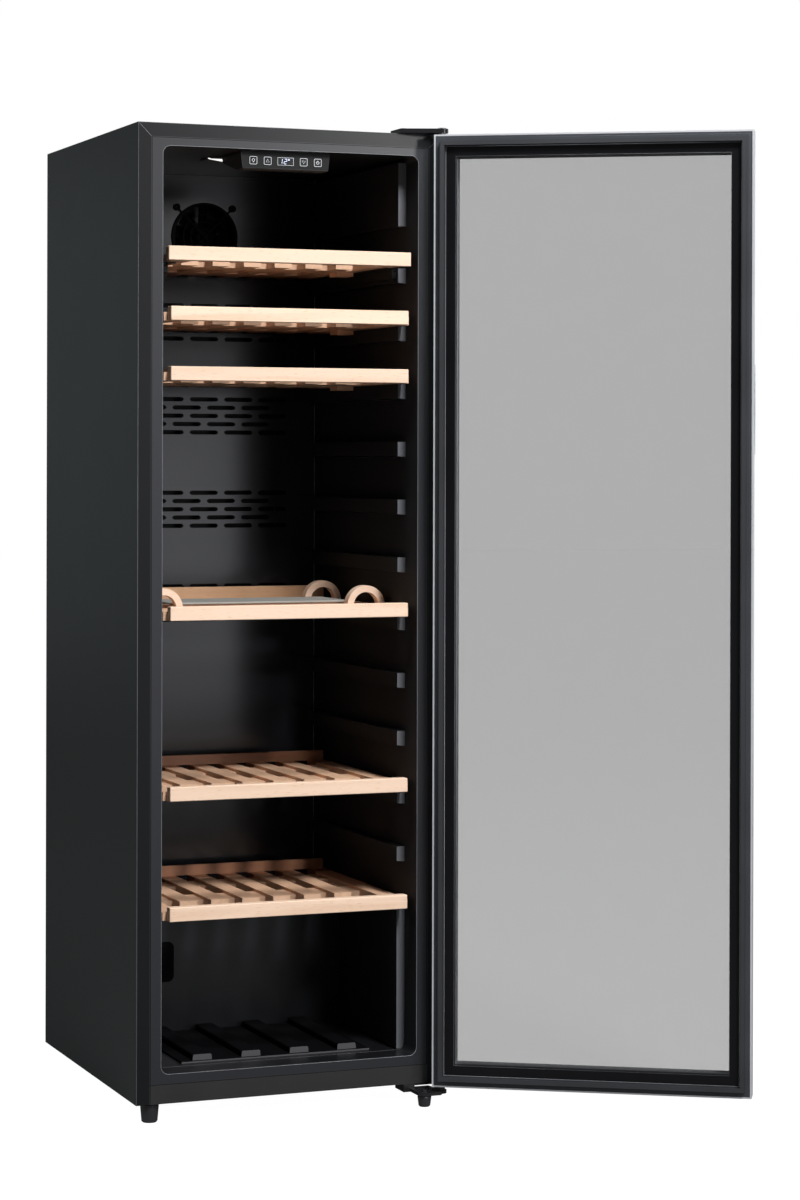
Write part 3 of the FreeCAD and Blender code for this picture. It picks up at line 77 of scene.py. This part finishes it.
class Graph:
    """A material's node tree with short calls for adding and joining nodes.

    A value given to a call is a number, a colour of three numbers or the socket of a node.
    """

    def __init__(self, name):
        self.material = bpy.data.materials.new(name)
        self.material.use_nodes = True
        self.tree = self.material.node_tree
        self.shader = self.tree.nodes["Principled BSDF"]

    def fill(self, socket, value):
        """Link a node's socket to a value that is a socket too, or set it."""
        if isinstance(value, bpy.types.NodeSocket):
            self.tree.links.new(value, socket)
        elif socket.type == "RGBA":
            socket.default_value = (*value, 1.0)
        else:
            socket.default_value = value

    def add(self, kind, inputs, **settings):
        """Add a shader node, with its settings made before its inputs are filled."""
        node = self.tree.nodes.new("ShaderNode" + kind)
        for key, value in settings.items():
            setattr(node, key, value)
        for key, value in inputs.items():
            self.fill(node.inputs[key], value)
        return node

    def set(self, **values):
        """Fill the shader's own sockets, named with underscores for spaces."""
        for key, value in values.items():
            self.fill(self.shader.inputs[key.replace("_", " ")], value)
        return self

    def place(self, scale=(1, 1, 1)):
        """Object coordinates in metres, stretched by scale."""
        where = self.add("TexCoord", {}).outputs["Object"]
        return self.add("Mapping", {"Vector": where, "Scale": scale}).outputs[0]

    def position(self):
        """The X, Y and Z of a point on the object, in metres."""
        return self.add("SeparateXYZ", {"Vector": self.place()}).outputs

    def facing(self):
        """The X, Y and Z of the surface's direction, on the object's own axes."""
        normal = self.add("TexCoord", {}).outputs["Normal"]
        return self.add("SeparateXYZ", {"Vector": normal}).outputs

    def math(self, operation, *values):
        return self.add("Math", dict(enumerate(values)), operation=operation).outputs[0]

    def near(self, value, centre, reach):
        """1 where a value lies within reach of centre, else 0."""
        away = self.math("ABSOLUTE", self.math("SUBTRACT", value, centre))
        return self.math("LESS_THAN", away, reach)

    def spread(self, value, low, high):
        """Map a 0 to 1 value to the range low to high."""
        return self.add("MapRange", {"Value": value, "To Min": low, "To Max": high}).outputs[0]

    def ramp(self, value, stops):
        """Colours along a 0 to 1 value, as pairs of position and colour."""
        ramp = self.add("ValToRGB", {"Fac": value})
        elements = ramp.color_ramp.elements
        while len(elements) < len(stops):
            elements.new(0.5)
        for element, (position, colour) in zip(elements, stops):
            element.position = position
            element.color = (*colour, 1.0)
        return ramp.outputs["Color"]

    def blend(self, factor, under, over, how="MIX"):
        """One colour laid over another."""
        return self.add("Mix", {"Factor": factor, "A": under, "B": over},
                        data_type="RGBA", blend_type=how).outputs["Result"]

    def scaled(self, colour, factor):
        """A colour made lighter or darker."""
        return self.add("VectorMath", {0: colour, "Scale": factor}, operation="SCALE").outputs[0]

    def noise(self, vector, scale, detail=2.0, distortion=0.0):
        return self.add("TexNoise", {"Vector": vector, "Scale": scale, "Detail": detail,
                                     "Distortion": distortion}).outputs[0]

    def patches(self):
        """Broad soft patches, 0 to 1, that make tone and gloss uneven."""
        return self.noise(self.place(), 9.0, 3.0)

    def bump(self, height, strength, distance):
        made = self.add("Bump", {"Height": height, "Strength": strength, "Distance": distance})
        return self.set(Normal=made.outputs[0])

    def texture(self, grain, depth):
        """The fine bump of paint and of moulded plastic."""
        return self.bump(self.noise(self.place(), grain), 0.35, depth)


def coat(name, colour, roughness, grain, depth, vary=0.12, **extra):
    """Paint or moulded plastic: fine texture, slightly uneven gloss and tone."""
    graph = Graph(name)
    soft = graph.patches()
    graph.set(Base_Color=graph.ramp(soft, [(0.3, toned(colour, 1 - vary)),
                                           (0.7, toned(colour, 1 + vary))]),
              Roughness=graph.spread(soft, roughness * 0.92, roughness * 1.08))
    return graph.texture(grain, depth).set(**extra).material


def case_paint(name, front, side, roughness=0.4, specular=0.2):
    """Black sheet steel of the case, painted lighter on the broad sides as a painted sheen,
    duller on top.
    """
    graph = Graph(name)
    soft = graph.patches()
    facing = graph.facing()
    # painted sheen: faces that turn sideways get the lighter side colour
    tone = graph.blend(graph.math("ABSOLUTE", facing["X"]), front, side)
    graph.set(Base_Color=graph.scaled(tone, graph.spread(soft, 0.85, 1.15)),
              Specular_IOR_Level=specular)
    dull = graph.spread(graph.math("ABSOLUTE", facing["Z"]), roughness, TOP_ROUGHNESS)
    graph.set(Roughness=graph.math("MULTIPLY", dull, graph.spread(soft, 0.93, 1.07)))
    return graph.texture(900, 0.06 * MM).material


def liner(name, back, flange, side, rib_end):
    """Moulded liner: satin black at the back, a little greyer on its front flange as a painted
    highlight, matt and darker on its side walls as painted shade, with the front ends of the
    shelf ribs left a paler grey.
    """
    graph = Graph(name)
    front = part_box("inner_liner")[0][1]
    depth = graph.position()["Y"]
    on_flange = graph.near(depth, front, FLANGE_DEPTH)
    on_rib_end = graph.near(depth, front + RIB_START, 1 * MM)
    sideways = graph.math("ABSOLUTE", graph.facing()["X"])
    tone = graph.ramp(graph.patches(), [(0.3, toned(back, 0.9)), (0.7, back)])
    # the flange's paler colour is a painted highlight, the side walls' darker colour painted
    # shade
    for where, colour in ((on_flange, flange), (on_rib_end, rib_end), (sideways, side)):
        tone = graph.blend(where, tone, colour)
    satin = graph.spread(on_flange, 0.3, 0.33)
    matt = graph.spread(sideways, 0.0, 0.75)
    graph.set(Base_Color=tone, Roughness=graph.math("MAXIMUM", satin, matt))
    return graph.texture(1800, 0.06 * MM).material


def brushed(name, colour, roughness, stretch):
    """Metal with fine brush lines along the axis where stretch is smallest."""
    graph = Graph(name)
    lines = graph.noise(graph.place(stretch), 6.0, 4.0)
    graph.set(Base_Color=graph.ramp(lines, [(0.35, toned(colour, 0.9)), (0.65, colour)]),
              Roughness=graph.spread(lines, roughness * 0.8, roughness * 1.2), Metallic=1.0)
    return graph.bump(lines, 0.15, 0.05 * MM).material


def beech(name, along, light=(0.90, 0.66, 0.50), dark=(0.79, 0.55, 0.39), rear=REAR_SHADE_TONE):
    """Beech with long grain streaks and short dark flecks; boards differ slightly in tone.

    Painted shade: undersides are darker, and the rear board of a shelf is darkened by rear.
    """
    graph = Graph(name)
    grain_scale = tuple(1.2 if axis == along else 26.0 for axis in "XYZ")
    fleck_scale = tuple(55.0 if axis == along else 900.0 for axis in "XYZ")
    streaks = graph.noise(graph.place(grain_scale), 1.6, 5.0, 0.6)
    tone = graph.ramp(streaks, [(0.25, dark), (0.5, light), (0.78, toned(light, 1.04))])
    flecks = graph.noise(graph.place(fleck_scale), 1.0, 1.0)
    fleck_tint = graph.ramp(flecks, [(0.62, WHITE), (0.75, FLECK_TONE)])
    position = graph.position()
    # painted shade on the rear boards
    behind = graph.math("GREATER_THAN", position["Y"], REAR_BOARD_Y)
    rear_painted_shade = graph.blend(behind, WHITE, rear)
    for tint in (fleck_tint, rear_painted_shade):
        tone = graph.blend(1.0, tone, tint, "MULTIPLY")
    across, pitch = ("Z", SHELF_PITCH) if along == "X" else ("X", SLAT_PITCH)
    board = graph.math("FLOOR", graph.math("DIVIDE", position[across], pitch))
    chance = graph.add("TexWhiteNoise", {"W": board}, noise_dimensions="1D").outputs[0]
    # painted shade on the faces that turn downwards
    under = graph.add("MapRange", {"Value": graph.facing()["Z"], "From Min": -0.6,
                                   "From Max": -0.9, "To Min": 1.0, "To Max": UNDERSIDE_SHADE})
    shade = graph.math("MULTIPLY", graph.spread(chance, 0.94, 1.05), under.outputs[0])
    graph.set(Base_Color=graph.scaled(tone, shade), Roughness=graph.spread(streaks, 0.42, 0.55))
    return graph.bump(streaks, 0.2, 0.2 * MM).material


def tinted_glass(name):
    """Grey pane that lets most of what is behind it through."""
    return Graph(name).set(Base_Color=(0.01, 0.01, 0.011), Roughness=0.02, Alpha=0.196).material


def glowing(name, colour, strength):
    return Graph(name).set(Base_Color=colour, Roughness=0.3, Emission_Color=colour,
                           Emission_Strength=strength).material


def lamp_glow(name, strength):
    """Milky lens whose lit part, on its underside, is a wedge that narrows to the left."""
    graph = Graph(name)
    left, front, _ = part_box("lamp_lens")[0]
    position = graph.position()
    along = graph.math("SUBTRACT", position["X"], left)
    depth = graph.math("SUBTRACT", position["Y"], front)
    reach = graph.math("MULTIPLY_ADD", along, WEDGE_SLOPE, WEDGE_TIP)
    wedge = graph.math("LESS_THAN", depth, reach)
    short = graph.math("LESS_THAN", along, WEDGE_LENGTH)
    below = graph.math("LESS_THAN", graph.facing()["Z"], -0.5)
    lit = graph.math("MULTIPLY", graph.math("MULTIPLY", wedge, short), below)
    return graph.set(Base_Color=(0.05, 0.05, 0.052), Roughness=0.35,
                     Emission_Color=(1.0, 0.98, 0.96),
                     Emission_Strength=graph.spread(lit, 0.0, strength)).material


def tray_plastic(name, colour, lit_front_colour):
    """Dull black slats whose front ends are painted paler, as painted light on the faces turned
    to the front.
    """
    graph = Graph(name)
    lit_front_end = graph.math("LESS_THAN", graph.facing()["Y"], -0.6)
    graph.set(Base_Color=graph.ramp(lit_front_end, [(0.0, colour), (1.0, lit_front_colour)]),
              Roughness=graph.spread(graph.noise(graph.place(), 40.0), 0.65, 0.75),
              Specular_IOR_Level=0.06)
    return graph.texture(1500, 0.1 * MM).material


# ---------------------------------------------------------------- looks of the CAD nodes

# By material slot. Wooden nodes, and nodes in NODE_LOOKS, are dealt with below.
FINISH = {
    # the lighter side colour is a painted sheen on the case's broad sides
    "case_steel": case_paint("case_steel_look", CASE_BLACK, (0.013, 0.0145, 0.0155)),
    "dark_plastic": coat("dark_plastic_look", (0.018, 0.0185, 0.021), 0.45, 1500, 0.1 * MM),
    # liner: the paler flange is a painted highlight, the darker side colour painted shade on the
    # side walls
    "liner_plastic": liner("liner_plastic_look", back=(0.009, 0.0095, 0.0115),
                           flange=(0.018, 0.0187, 0.0225), side=(0.002, 0.0025, 0.005),
                           rib_end=(0.15, 0.155, 0.17)),
    "stainless": brushed("stainless_look", (0.66, 0.66, 0.68), 0.28, (160, 160, 1.5)),
    "zinc_steel": brushed("zinc_steel_look", (0.5, 0.51, 0.53), 0.38, (40, 40, 20)),
    "tinted_glass": tinted_glass("tinted_glass_look"),
    "gasket_rubber": coat("gasket_rubber_look", (0.028, 0.029, 0.033), 0.5, 600, 0.1 * MM),
    "gloss_black": coat("gloss_black_look", (0.008, 0.008, 0.009), 0.12, 200, 0.01 * MM),
    "fin_aluminium": brushed("fin_aluminium_look", (0.72, 0.72, 0.74), 0.35, (30, 30, 3)),
    "compressor_paint": coat("compressor_paint_look", (0.012, 0.012, 0.013), 0.2, 250, 0.1 * MM),
    "lamp_diffuser": lamp_glow("lamp_diffuser_look", 1.1),
    "board_green": coat("board_green_look", (0.015, 0.11, 0.05), 0.4, 700, 0.1 * MM),
    "tray_panel": coat("tray_panel_look", (0.315, 0.307, 0.286), 0.5, 700, 0.05 * MM, vary=0.03),
}

FAN_LOOK = coat("fan_look", (0.002, 0.002, 0.0025), 0.6, 900, 0.05 * MM, Specular_IOR_Level=0.1)
HINGE_LOOK = coat("hinge_look", (0.01, 0.01, 0.011), 0.25, 400, 0.03 * MM)
BEECH_ACROSS = beech("beech_across_look", "X")
# Wood that runs deep into the cooler: a darker, more saturated copy of the beech, as painted
# shade
BEECH_DEEP_SHADED = beech("beech_deep_shaded_look", "Y", (0.74, 0.47, 0.31), (0.60, 0.37, 0.24))

NODE_LOOKS = {
    "glazing_bead": coat("bead_look", (0.004, 0.004, 0.005), 0.35, 900, 0.04 * MM,
                         Specular_IOR_Level=0.25),
    "door_inner_frame": coat("door_plastic_look", (0.042, 0.046, 0.054), 0.42, 1500, 0.08 * MM),
    "door_outer_frame": coat("door_lip_look", (0.78, 0.78, 0.82), 0.3, 900, 0.02 * MM, vary=0.04,
                             Metallic=0.45),
    "fan_frame": FAN_LOOK,
    "fan_rotor": FAN_LOOK,
    # the paler front colour is painted light on the slats' front ends
    "bottle_tray": tray_plastic("tray_plastic_look", (0.0025, 0.0025, 0.0032),
                                (0.09, 0.09, 0.095)),
    "top_panel": case_paint("top_steel_look", CASE_BLACK, CASE_BLACK, 0.3, 0.3),
    "bottom_rail": coat("rail_look", (0.017, 0.0175, 0.0165), 0.45, 900, 0.08 * MM),
    "duct_cover": coat("duct_cover_look", (0.011, 0.0116, 0.0145), 0.18, 1800, 0.02 * MM),
    "return_vent": coat("vent_look", (0.0012, 0.0012, 0.0013), 0.7, 900, 0.05 * MM,
                        Specular_IOR_Level=0.1),
    "top_hinge_bracket": HINGE_LOOK,
    "bottom_hinge_bracket": HINGE_LOOK,
    "shelf_4_boards": beech("beech_pale_look", "X", rear=PALE_REAR_SHADE),
    "control_housing": coat("housing_look", (0.042, 0.0425, 0.045), 0.45, 1500, 0.1 * MM,
                            Specular_IOR_Level=0.3),
}


def dress_nodes():
    """Give every CAD node its procedural material."""
    for sub in frame["record"]["subparts"]:
        node = sub["node"]
        look = NODE_LOOKS.get(node) or FINISH.get(sub["material_slot"])
        if look is None:
            look = BEECH_ACROSS if node.endswith(("boards", "arches")) else BEECH_DEEP_SHADED
        for slot in frame["nodes"][node].material_slots:
            slot.material = look


# ---------------------------------------------------------------- pieces that only show

# The button symbols and the display border are print; their glow is painted light.
GLOWING_PRINT = glowing("icon_print_glow_look", (0.8, 0.82, 0.85), 1.3)
DIGIT = glowing("digit_light_look", (0.72, 0.78, 1.0), 2.2)
# Thin lines on edges: the pale ones are painted highlights where light would catch a rounded
# edge, the brightest a painted glint; the black one is a dark joint.
BRIGHT_GLINT = coat("edge_bright_glint_look", (0.85, 0.86, 0.9), 0.35, 900, 0.01 * MM)
SEAM_HIGHLIGHT = coat("edge_seam_highlight_look", (0.4, 0.405, 0.43), 0.4, 900, 0.01 * MM)
SHINE_HIGHLIGHT = coat("edge_shine_highlight_look", (0.2, 0.205, 0.22), 0.4, 900, 0.01 * MM)
FAINT_HIGHLIGHT = coat("edge_faint_highlight_look", (0.07, 0.072, 0.08), 0.4, 900, 0.01 * MM)
GAP = coat("edge_gap_look", (0.001, 0.001, 0.001), 0.9, 900, 0.01 * MM, Specular_IOR_Level=0.0)

PRINT_WIDTH = 0.3 * MM
DIGIT_WIDTH = 0.38 * MM
DIGIT_LEAN = 0.14
STROKE_GAP = 0.08           # part of a stroke left out at each of its ends
SEGMENTS = {"1": "bc", "2": "abged"}
SEGMENT_ENDS = {"a": ((0, 1), (1, 1)), "b": ((1, 1), (1, 0.5)), "c": ((1, 0.5), (1, 0)),
                "d": ((0, 0), (1, 0)), "e": ((0, 0), (0, 0.5)), "g": ((0, 0.5), (1, 0.5))}


def wire(name, loops, y, radius, material, body, turn=Matrix()):
    """Thin lines in an X-Z plane, then turned; a loop is (points, closed)."""
    curve = bpy.data.curves.new(name, "CURVE")
    curve.dimensions = "3D"
    curve.bevel_depth = radius
    curve.bevel_resolution = 1
    for points, closed in loops:
        spline = curve.splines.new("POLY")
        spline.points.add(len(points) - 1)
        for point, (x, z) in zip(spline.points, points):
            point.co = (*(turn @ Vector((x, y, z))), 1)
        spline.use_cyclic_u = closed
    made = bpy.data.objects.new(name, curve)
    bpy.context.collection.objects.link(made)
    curve.materials.append(material)
    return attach(made, body)


def arc_points(x, z, radius, start, end, steps=12):
    """Points along an arc, from and to an angle in degrees."""
    turn = [math.radians(start + (end - start) * n / steps) for n in range(steps + 1)]
    return [(x + radius * math.cos(a), z + radius * math.sin(a)) for a in turn]


def framed(x0, x1, z0, z1, corner=0.0, steps=6):
    """A closed upright rectangle, with round corners if corner isn't 0."""
    if not corner:
        return [(x0, z0), (x1, z0), (x1, z1), (x0, z1)], True
    points = []
    for x, z, start in ((x1 - corner, z1 - corner, 0), (x0 + corner, z1 - corner, 90),
                        (x0 + corner, z0 + corner, 180), (x1 - corner, z0 + corner, 270)):
        points += arc_points(x, z, corner, start, start + 90, steps)
    return points, True


def framed_about(x, z, half_wide, half_tall, corner=0.0, steps=6):
    """The same, about its middle."""
    return framed(x - half_wide, x + half_wide, z - half_tall, z + half_tall, corner, steps)


def middle(low, high):
    """The X and Z of the middle of a box."""
    return (low[0] + high[0]) / 2, (low[2] + high[2]) / 2


def icon_lines(kind, x, z):
    """Generic button symbols: lamp, arrow up, arrow down, power."""
    size = 3.2 * MM
    if kind == "light_button":
        bulb = arc_points(x, z + 0.6 * MM, size * 0.75, -50, 230), False
        cap = [([(x - half * MM, z - drop * MM), (x + half * MM, z - drop * MM)], False)
               for half, drop in ((1.3, 2.2), (1.0, 3.1))]
        return [bulb] + cap
    if kind == "power_button":
        return [(arc_points(x, z, size * 0.85, 120, 420), False),
                ([(x, z + 0.3 * MM), (x, z + size * 1.15)], False)]
    way = 1 if kind == "up_button" else -1
    base = z - way * size * 0.7
    return [([(x, z + way * size * 0.9), (x - size, base), (x + size, base)], True)]


def digit_lines(mark, x, z, wide, tall):
    """Seven-segment strokes of a digit, leaning slightly to the right."""
    def point(across, up):
        return (x + across * wide + up * tall * DIGIT_LEAN, z + up * tall)
    lines = []
    for key in SEGMENTS[mark]:
        (x0, z0), (x1, z1) = SEGMENT_ENDS[key]
        cut_x = (x1 - x0) * STROKE_GAP
        cut_z = (z1 - z0) * STROKE_GAP
        lines.append(([point(x0 + cut_x, z0 + cut_z), point(x1 - cut_x, z1 - cut_z)], False))
    return lines


def control_marks():
    """Outlined symbols on the four buttons and plain digits on the display window."""
    # the printed symbols and the display border glow as painted light
    for button in ("light_button", "up_button", "down_button", "power_button"):
        low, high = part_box(button)
        x, z = middle(low, high)
        outline = framed_about(x, z, 7 * MM, 7 * MM, 1.6 * MM, 4)
        wire(button + "_print", [outline] + icon_lines(button, x, z), low[1] - PRINT_LIFT,
             PRINT_WIDTH, GLOWING_PRINT, button)
    low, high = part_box("display_window")
    x, z = middle(low, high)
    face = low[1] - PRINT_LIFT
    wire("display_border", [framed_about(x, z, 15.5 * MM, 7 * MM)], face, PRINT_WIDTH, GLOWING_PRINT,
         "cabinet")
    wide = 5 * MM
    tall = 9 * MM
    degree = 1.2 * MM
    strokes = digit_lines("1", x - 12.5 * MM, z - tall / 2, wide, tall)
    strokes += digit_lines("2", x - 3.5 * MM, z - tall / 2, wide, tall)
    strokes.append((arc_points(x + 6.5 * MM, z + tall / 2 - degree, degree, 0, 360, 10), True))
    wire("display_digits", strokes, face, DIGIT_WIDTH, DIGIT, "cabinet")


def case_seams():
    """The folded edges and joints round the front of the case, as thin lines: the pale ones
    carry painted highlights, and the gap line is a dark joint.

    Those that the door gasket shuts on are sunk in, so that they stand only PROUD of the metal.
    """
    (left, front, low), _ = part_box("left_side_panel")
    _, (right, _, top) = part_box("top_panel")
    (inner_left, _, sill), (inner_right, _, head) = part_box("inner_liner")

    fold = 0.7 * MM
    fold_left, fold_right, fold_top = left + fold, right - fold, top - fold
    wire("case_fold_line", [([(fold_left, low), (fold_left, fold_top), (fold_right, fold_top)],
                             False)],
         front, fold, FAINT_HIGHLIGHT, "cabinet")

    mitre = 0.8 * MM
    wire("case_mitre_lines", [([(fold_left, fold_top), (inner_left, head)], False),
                              ([(fold_right, fold_top), (inner_right, head)], False)],
         front + mitre - PROUD, mitre, SHINE_HIGHLIGHT, "cabinet")

    seam = 1.6 * MM
    wire("liner_seam_line", [([(inner_left, low), (inner_left, head), (inner_right, head),
                               (inner_right, sill)], False)],
         front + seam - PROUD, seam, SEAM_HIGHLIGHT, "cabinet")

    gap = 1.0 * MM
    gap_left, gap_right, gap_top = inner_left + seam, inner_right - seam, head - seam
    wire("liner_seam_gap", [([(gap_left, low), (gap_left, gap_top), (gap_right, gap_top),
                              (gap_right, sill)], False),
                            ([(inner_left, sill), (inner_right, sill)], False)],
         front + gap - PROUD, gap, GAP, "cabinet")

    cover_low, cover_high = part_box("duct_cover")
    cover_edge = cover_high[0] - 14 * MM
    wire("cover_edge_line", [([(cover_edge, cover_low[2]), (cover_edge, cover_high[2])], False)],
         cover_low[1], 0.5 * MM, SHINE_HIGHLIGHT, "cabinet")

    mouth_left = inner_left + LINER_BORDER
    wire("mouth_edge_line", [framed(mouth_left, -mouth_left, sill + 18 * MM, head - 16 * MM,
                                    MOUTH_CORNER)],
         front, 0.5 * MM, SHINE_HIGHLIGHT, "cabinet")


def control_edges():
    """Light along the lower front edge and left end of the control housing."""
    low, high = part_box("control_housing")
    taper = 3.5 * MM
    edge = low[2] + 1.8 * MM
    wire("housing_edge_line", [([(low[0] + 0.4 * MM, high[2] - 2 * MM), (low[0] + taper, edge),
                                 (high[0] - taper, edge)], False)],
         low[1] - 0.1 * MM, 0.4 * MM, SHINE_HIGHLIGHT, "cabinet")


def door_ridges():
    """Fine ridges moulded round the inner side of the door, pale as painted highlights, and a
    line along its outer edge that is a painted glint, laid out as if it were shut.
    """
    hinge = next(j for j in frame["record"]["behaviour"]["joints"] if j["name"] == "door_hinge")
    pivot = Vector((hinge["pos_m"][0], hinge["pos_m"][1], 0))
    swing = Matrix.Rotation(math.radians(-hinge["range_deg"][0]), 4, "Z")
    turn = Matrix.Translation(pivot) @ swing @ Matrix.Translation(-pivot)
    (left, _, _), (right, _, _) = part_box("top_panel")
    (_, _, low), (_, _, high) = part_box("door_outer_frame")
    face = pivot[1] + DOOR_FACE
    for name, inset, radius, look in (("door_ridge_line", 22.6 * MM, 0.8 * MM, SHINE_HIGHLIGHT),
                                      ("door_groove_line", 7.5 * MM, 0.6 * MM, FAINT_HIGHLIGHT),
                                      ("bead_edge_line", 41.2 * MM, 0.5 * MM, FAINT_HIGHLIGHT)):
        ring = framed(left + inset, right - inset, low + inset, high - inset)
        wire(name, [ring], face, radius, look, "door", turn)
    inset = 1 * MM
    edge = right - inset
    wire("door_edge_line", [([(edge, low + inset), (edge, high - inset)], False)],
         face - inset, 0.9 * MM, BRIGHT_GLINT, "door", turn)


# ---------------------------------------------------------------- studio

COOL = (0.92, 0.94, 1.0)
GREENISH = (0.88, 1.0, 0.99)
PALE_GREENISH = (0.9, 1.0, 1.0)

# Each softbox: name, place, target, size, power in watts, colour.
SOFTBOXES = (
    ("high_front", (0.7, -4.6, 5.6), (0, -0.5, 1.0), (1.0, 1.4), 456, WHITE),
    ("sheen", (1.8, -5.8, 0.88), (0.1, -0.3, 0.9), (1.15, 1.35), 9.6, COOL),
    ("upper_sheen", (1.8, -5.8, 2.1), (0.1, -0.3, 1.6), (1.15, 0.8), 2.4, COOL),
    ("top_sheen", (2.8, -5.8, 2.6), (0, -0.5, 1.8), (0.8, 0.8), 64, WHITE),
    ("side_sheen", (-1.45, 3.5, 1.35), (-0.3, -0.3, 1.0), (1.0, 1.7), 1.1, GREENISH),
    ("left_fill", (-3.6, -0.6, 3.0), (-0.3, -0.3, 1.0), (1.6, 1.6), 68, GREENISH),
    ("left_wall", (-5.5, 1.8, 1.4), (0, -0.3, 1.2), (3.5, 2.4), 36, PALE_GREENISH),
    ("right_wall", (5.5, 1.8, 1.4), (0, -0.3, 1.2), (3.5, 2.4), 36, PALE_GREENISH),
)

CAMERA_PLACE = (-1.8468, -5.7672, 1.2123)
CAMERA_YAW = 21.69
CAMERA_PITCH = -0.10
CAMERA_ROLL = 0.14


def floor():
    """Pale floor, white for the eye and dim for the light that it sheds."""
    reach = 30.0
    made = bpy.data.meshes.new("studio_floor")
    made.from_pydata([(x * reach, y * reach, 0) for x, y in ((-1, -1), (1, -1), (1, 1), (-1, 1))],
                     [], [(0, 1, 2, 3)])
    obj = bpy.data.objects.new("studio_floor", made)
    bpy.context.collection.objects.link(obj)
    graph = Graph("studio_floor_look")
    seen = graph.add("LightPath", {}).outputs["Is Camera Ray"]
    tone = graph.ramp(seen, [(0.0, (0.16, 0.16, 0.16)), (1.0, (0.1, 0.1, 0.1))])
    graph.set(Base_Color=tone, Roughness=1.0, Specular_IOR_Level=0.0,
              Emission_Color=WHITE, Emission_Strength=graph.spread(seen, 0.03, 0.99))
    made.materials.append(graph.material)


def softbox(name, place, target, size, power, colour):
    light = bpy.data.lights.new(name, "AREA")
    light.shape = "RECTANGLE"
    light.size, light.size_y = size
    light.energy = power
    light.color = colour
    obj = bpy.data.objects.new(name, light)
    obj.location = place
    obj.rotation_euler = (Vector(target) - Vector(place)).to_track_quat("-Z", "Y").to_euler()
    bpy.context.collection.objects.link(obj)


def surroundings():
    """White backdrop for the eye, dimmer for the light that it sheds."""
    world = bpy.data.worlds.new("studio_world")
    bpy.context.scene.world = world
    world.use_nodes = True
    tree = world.node_tree
    background = tree.nodes["Background"]
    background.inputs["Color"].default_value = (*WHITE, 1)
    path = tree.nodes.new("ShaderNodeLightPath")
    strength = tree.nodes.new("ShaderNodeMapRange")
    strength.inputs["To Min"].default_value = 0.1
    strength.inputs["To Max"].default_value = 1.0
    tree.links.new(path.outputs["Is Camera Ray"], strength.inputs["Value"])
    tree.links.new(strength.outputs[0], background.inputs["Strength"])


def camera():
    lens = bpy.data.cameras.new("camera")
    lens.lens = 89.2
    lens.sensor_width = 36.0
    lens.shift_y = -0.1145
    lens.clip_end = 100
    obj = bpy.data.objects.new("camera", lens)
    bpy.context.collection.objects.link(obj)
    upright = math.pi / 2 + math.radians(CAMERA_PITCH)
    obj.matrix_world = (Matrix.Translation(CAMERA_PLACE)
                        @ Matrix.Rotation(-math.radians(CAMERA_YAW), 4, "Z")
                        @ Matrix.Rotation(upright, 4, "X")
                        @ Matrix.Rotation(math.radians(CAMERA_ROLL), 4, "Z"))
    bpy.context.scene.camera = obj


def studio():
    floor()
    surroundings()
    camera()
    for box in SOFTBOXES:
        softbox(*box)
    bpy.context.scene.view_settings.view_transform = "Standard"


dress_nodes()
control_marks()
control_edges()
case_seams()
door_ridges()
studio()
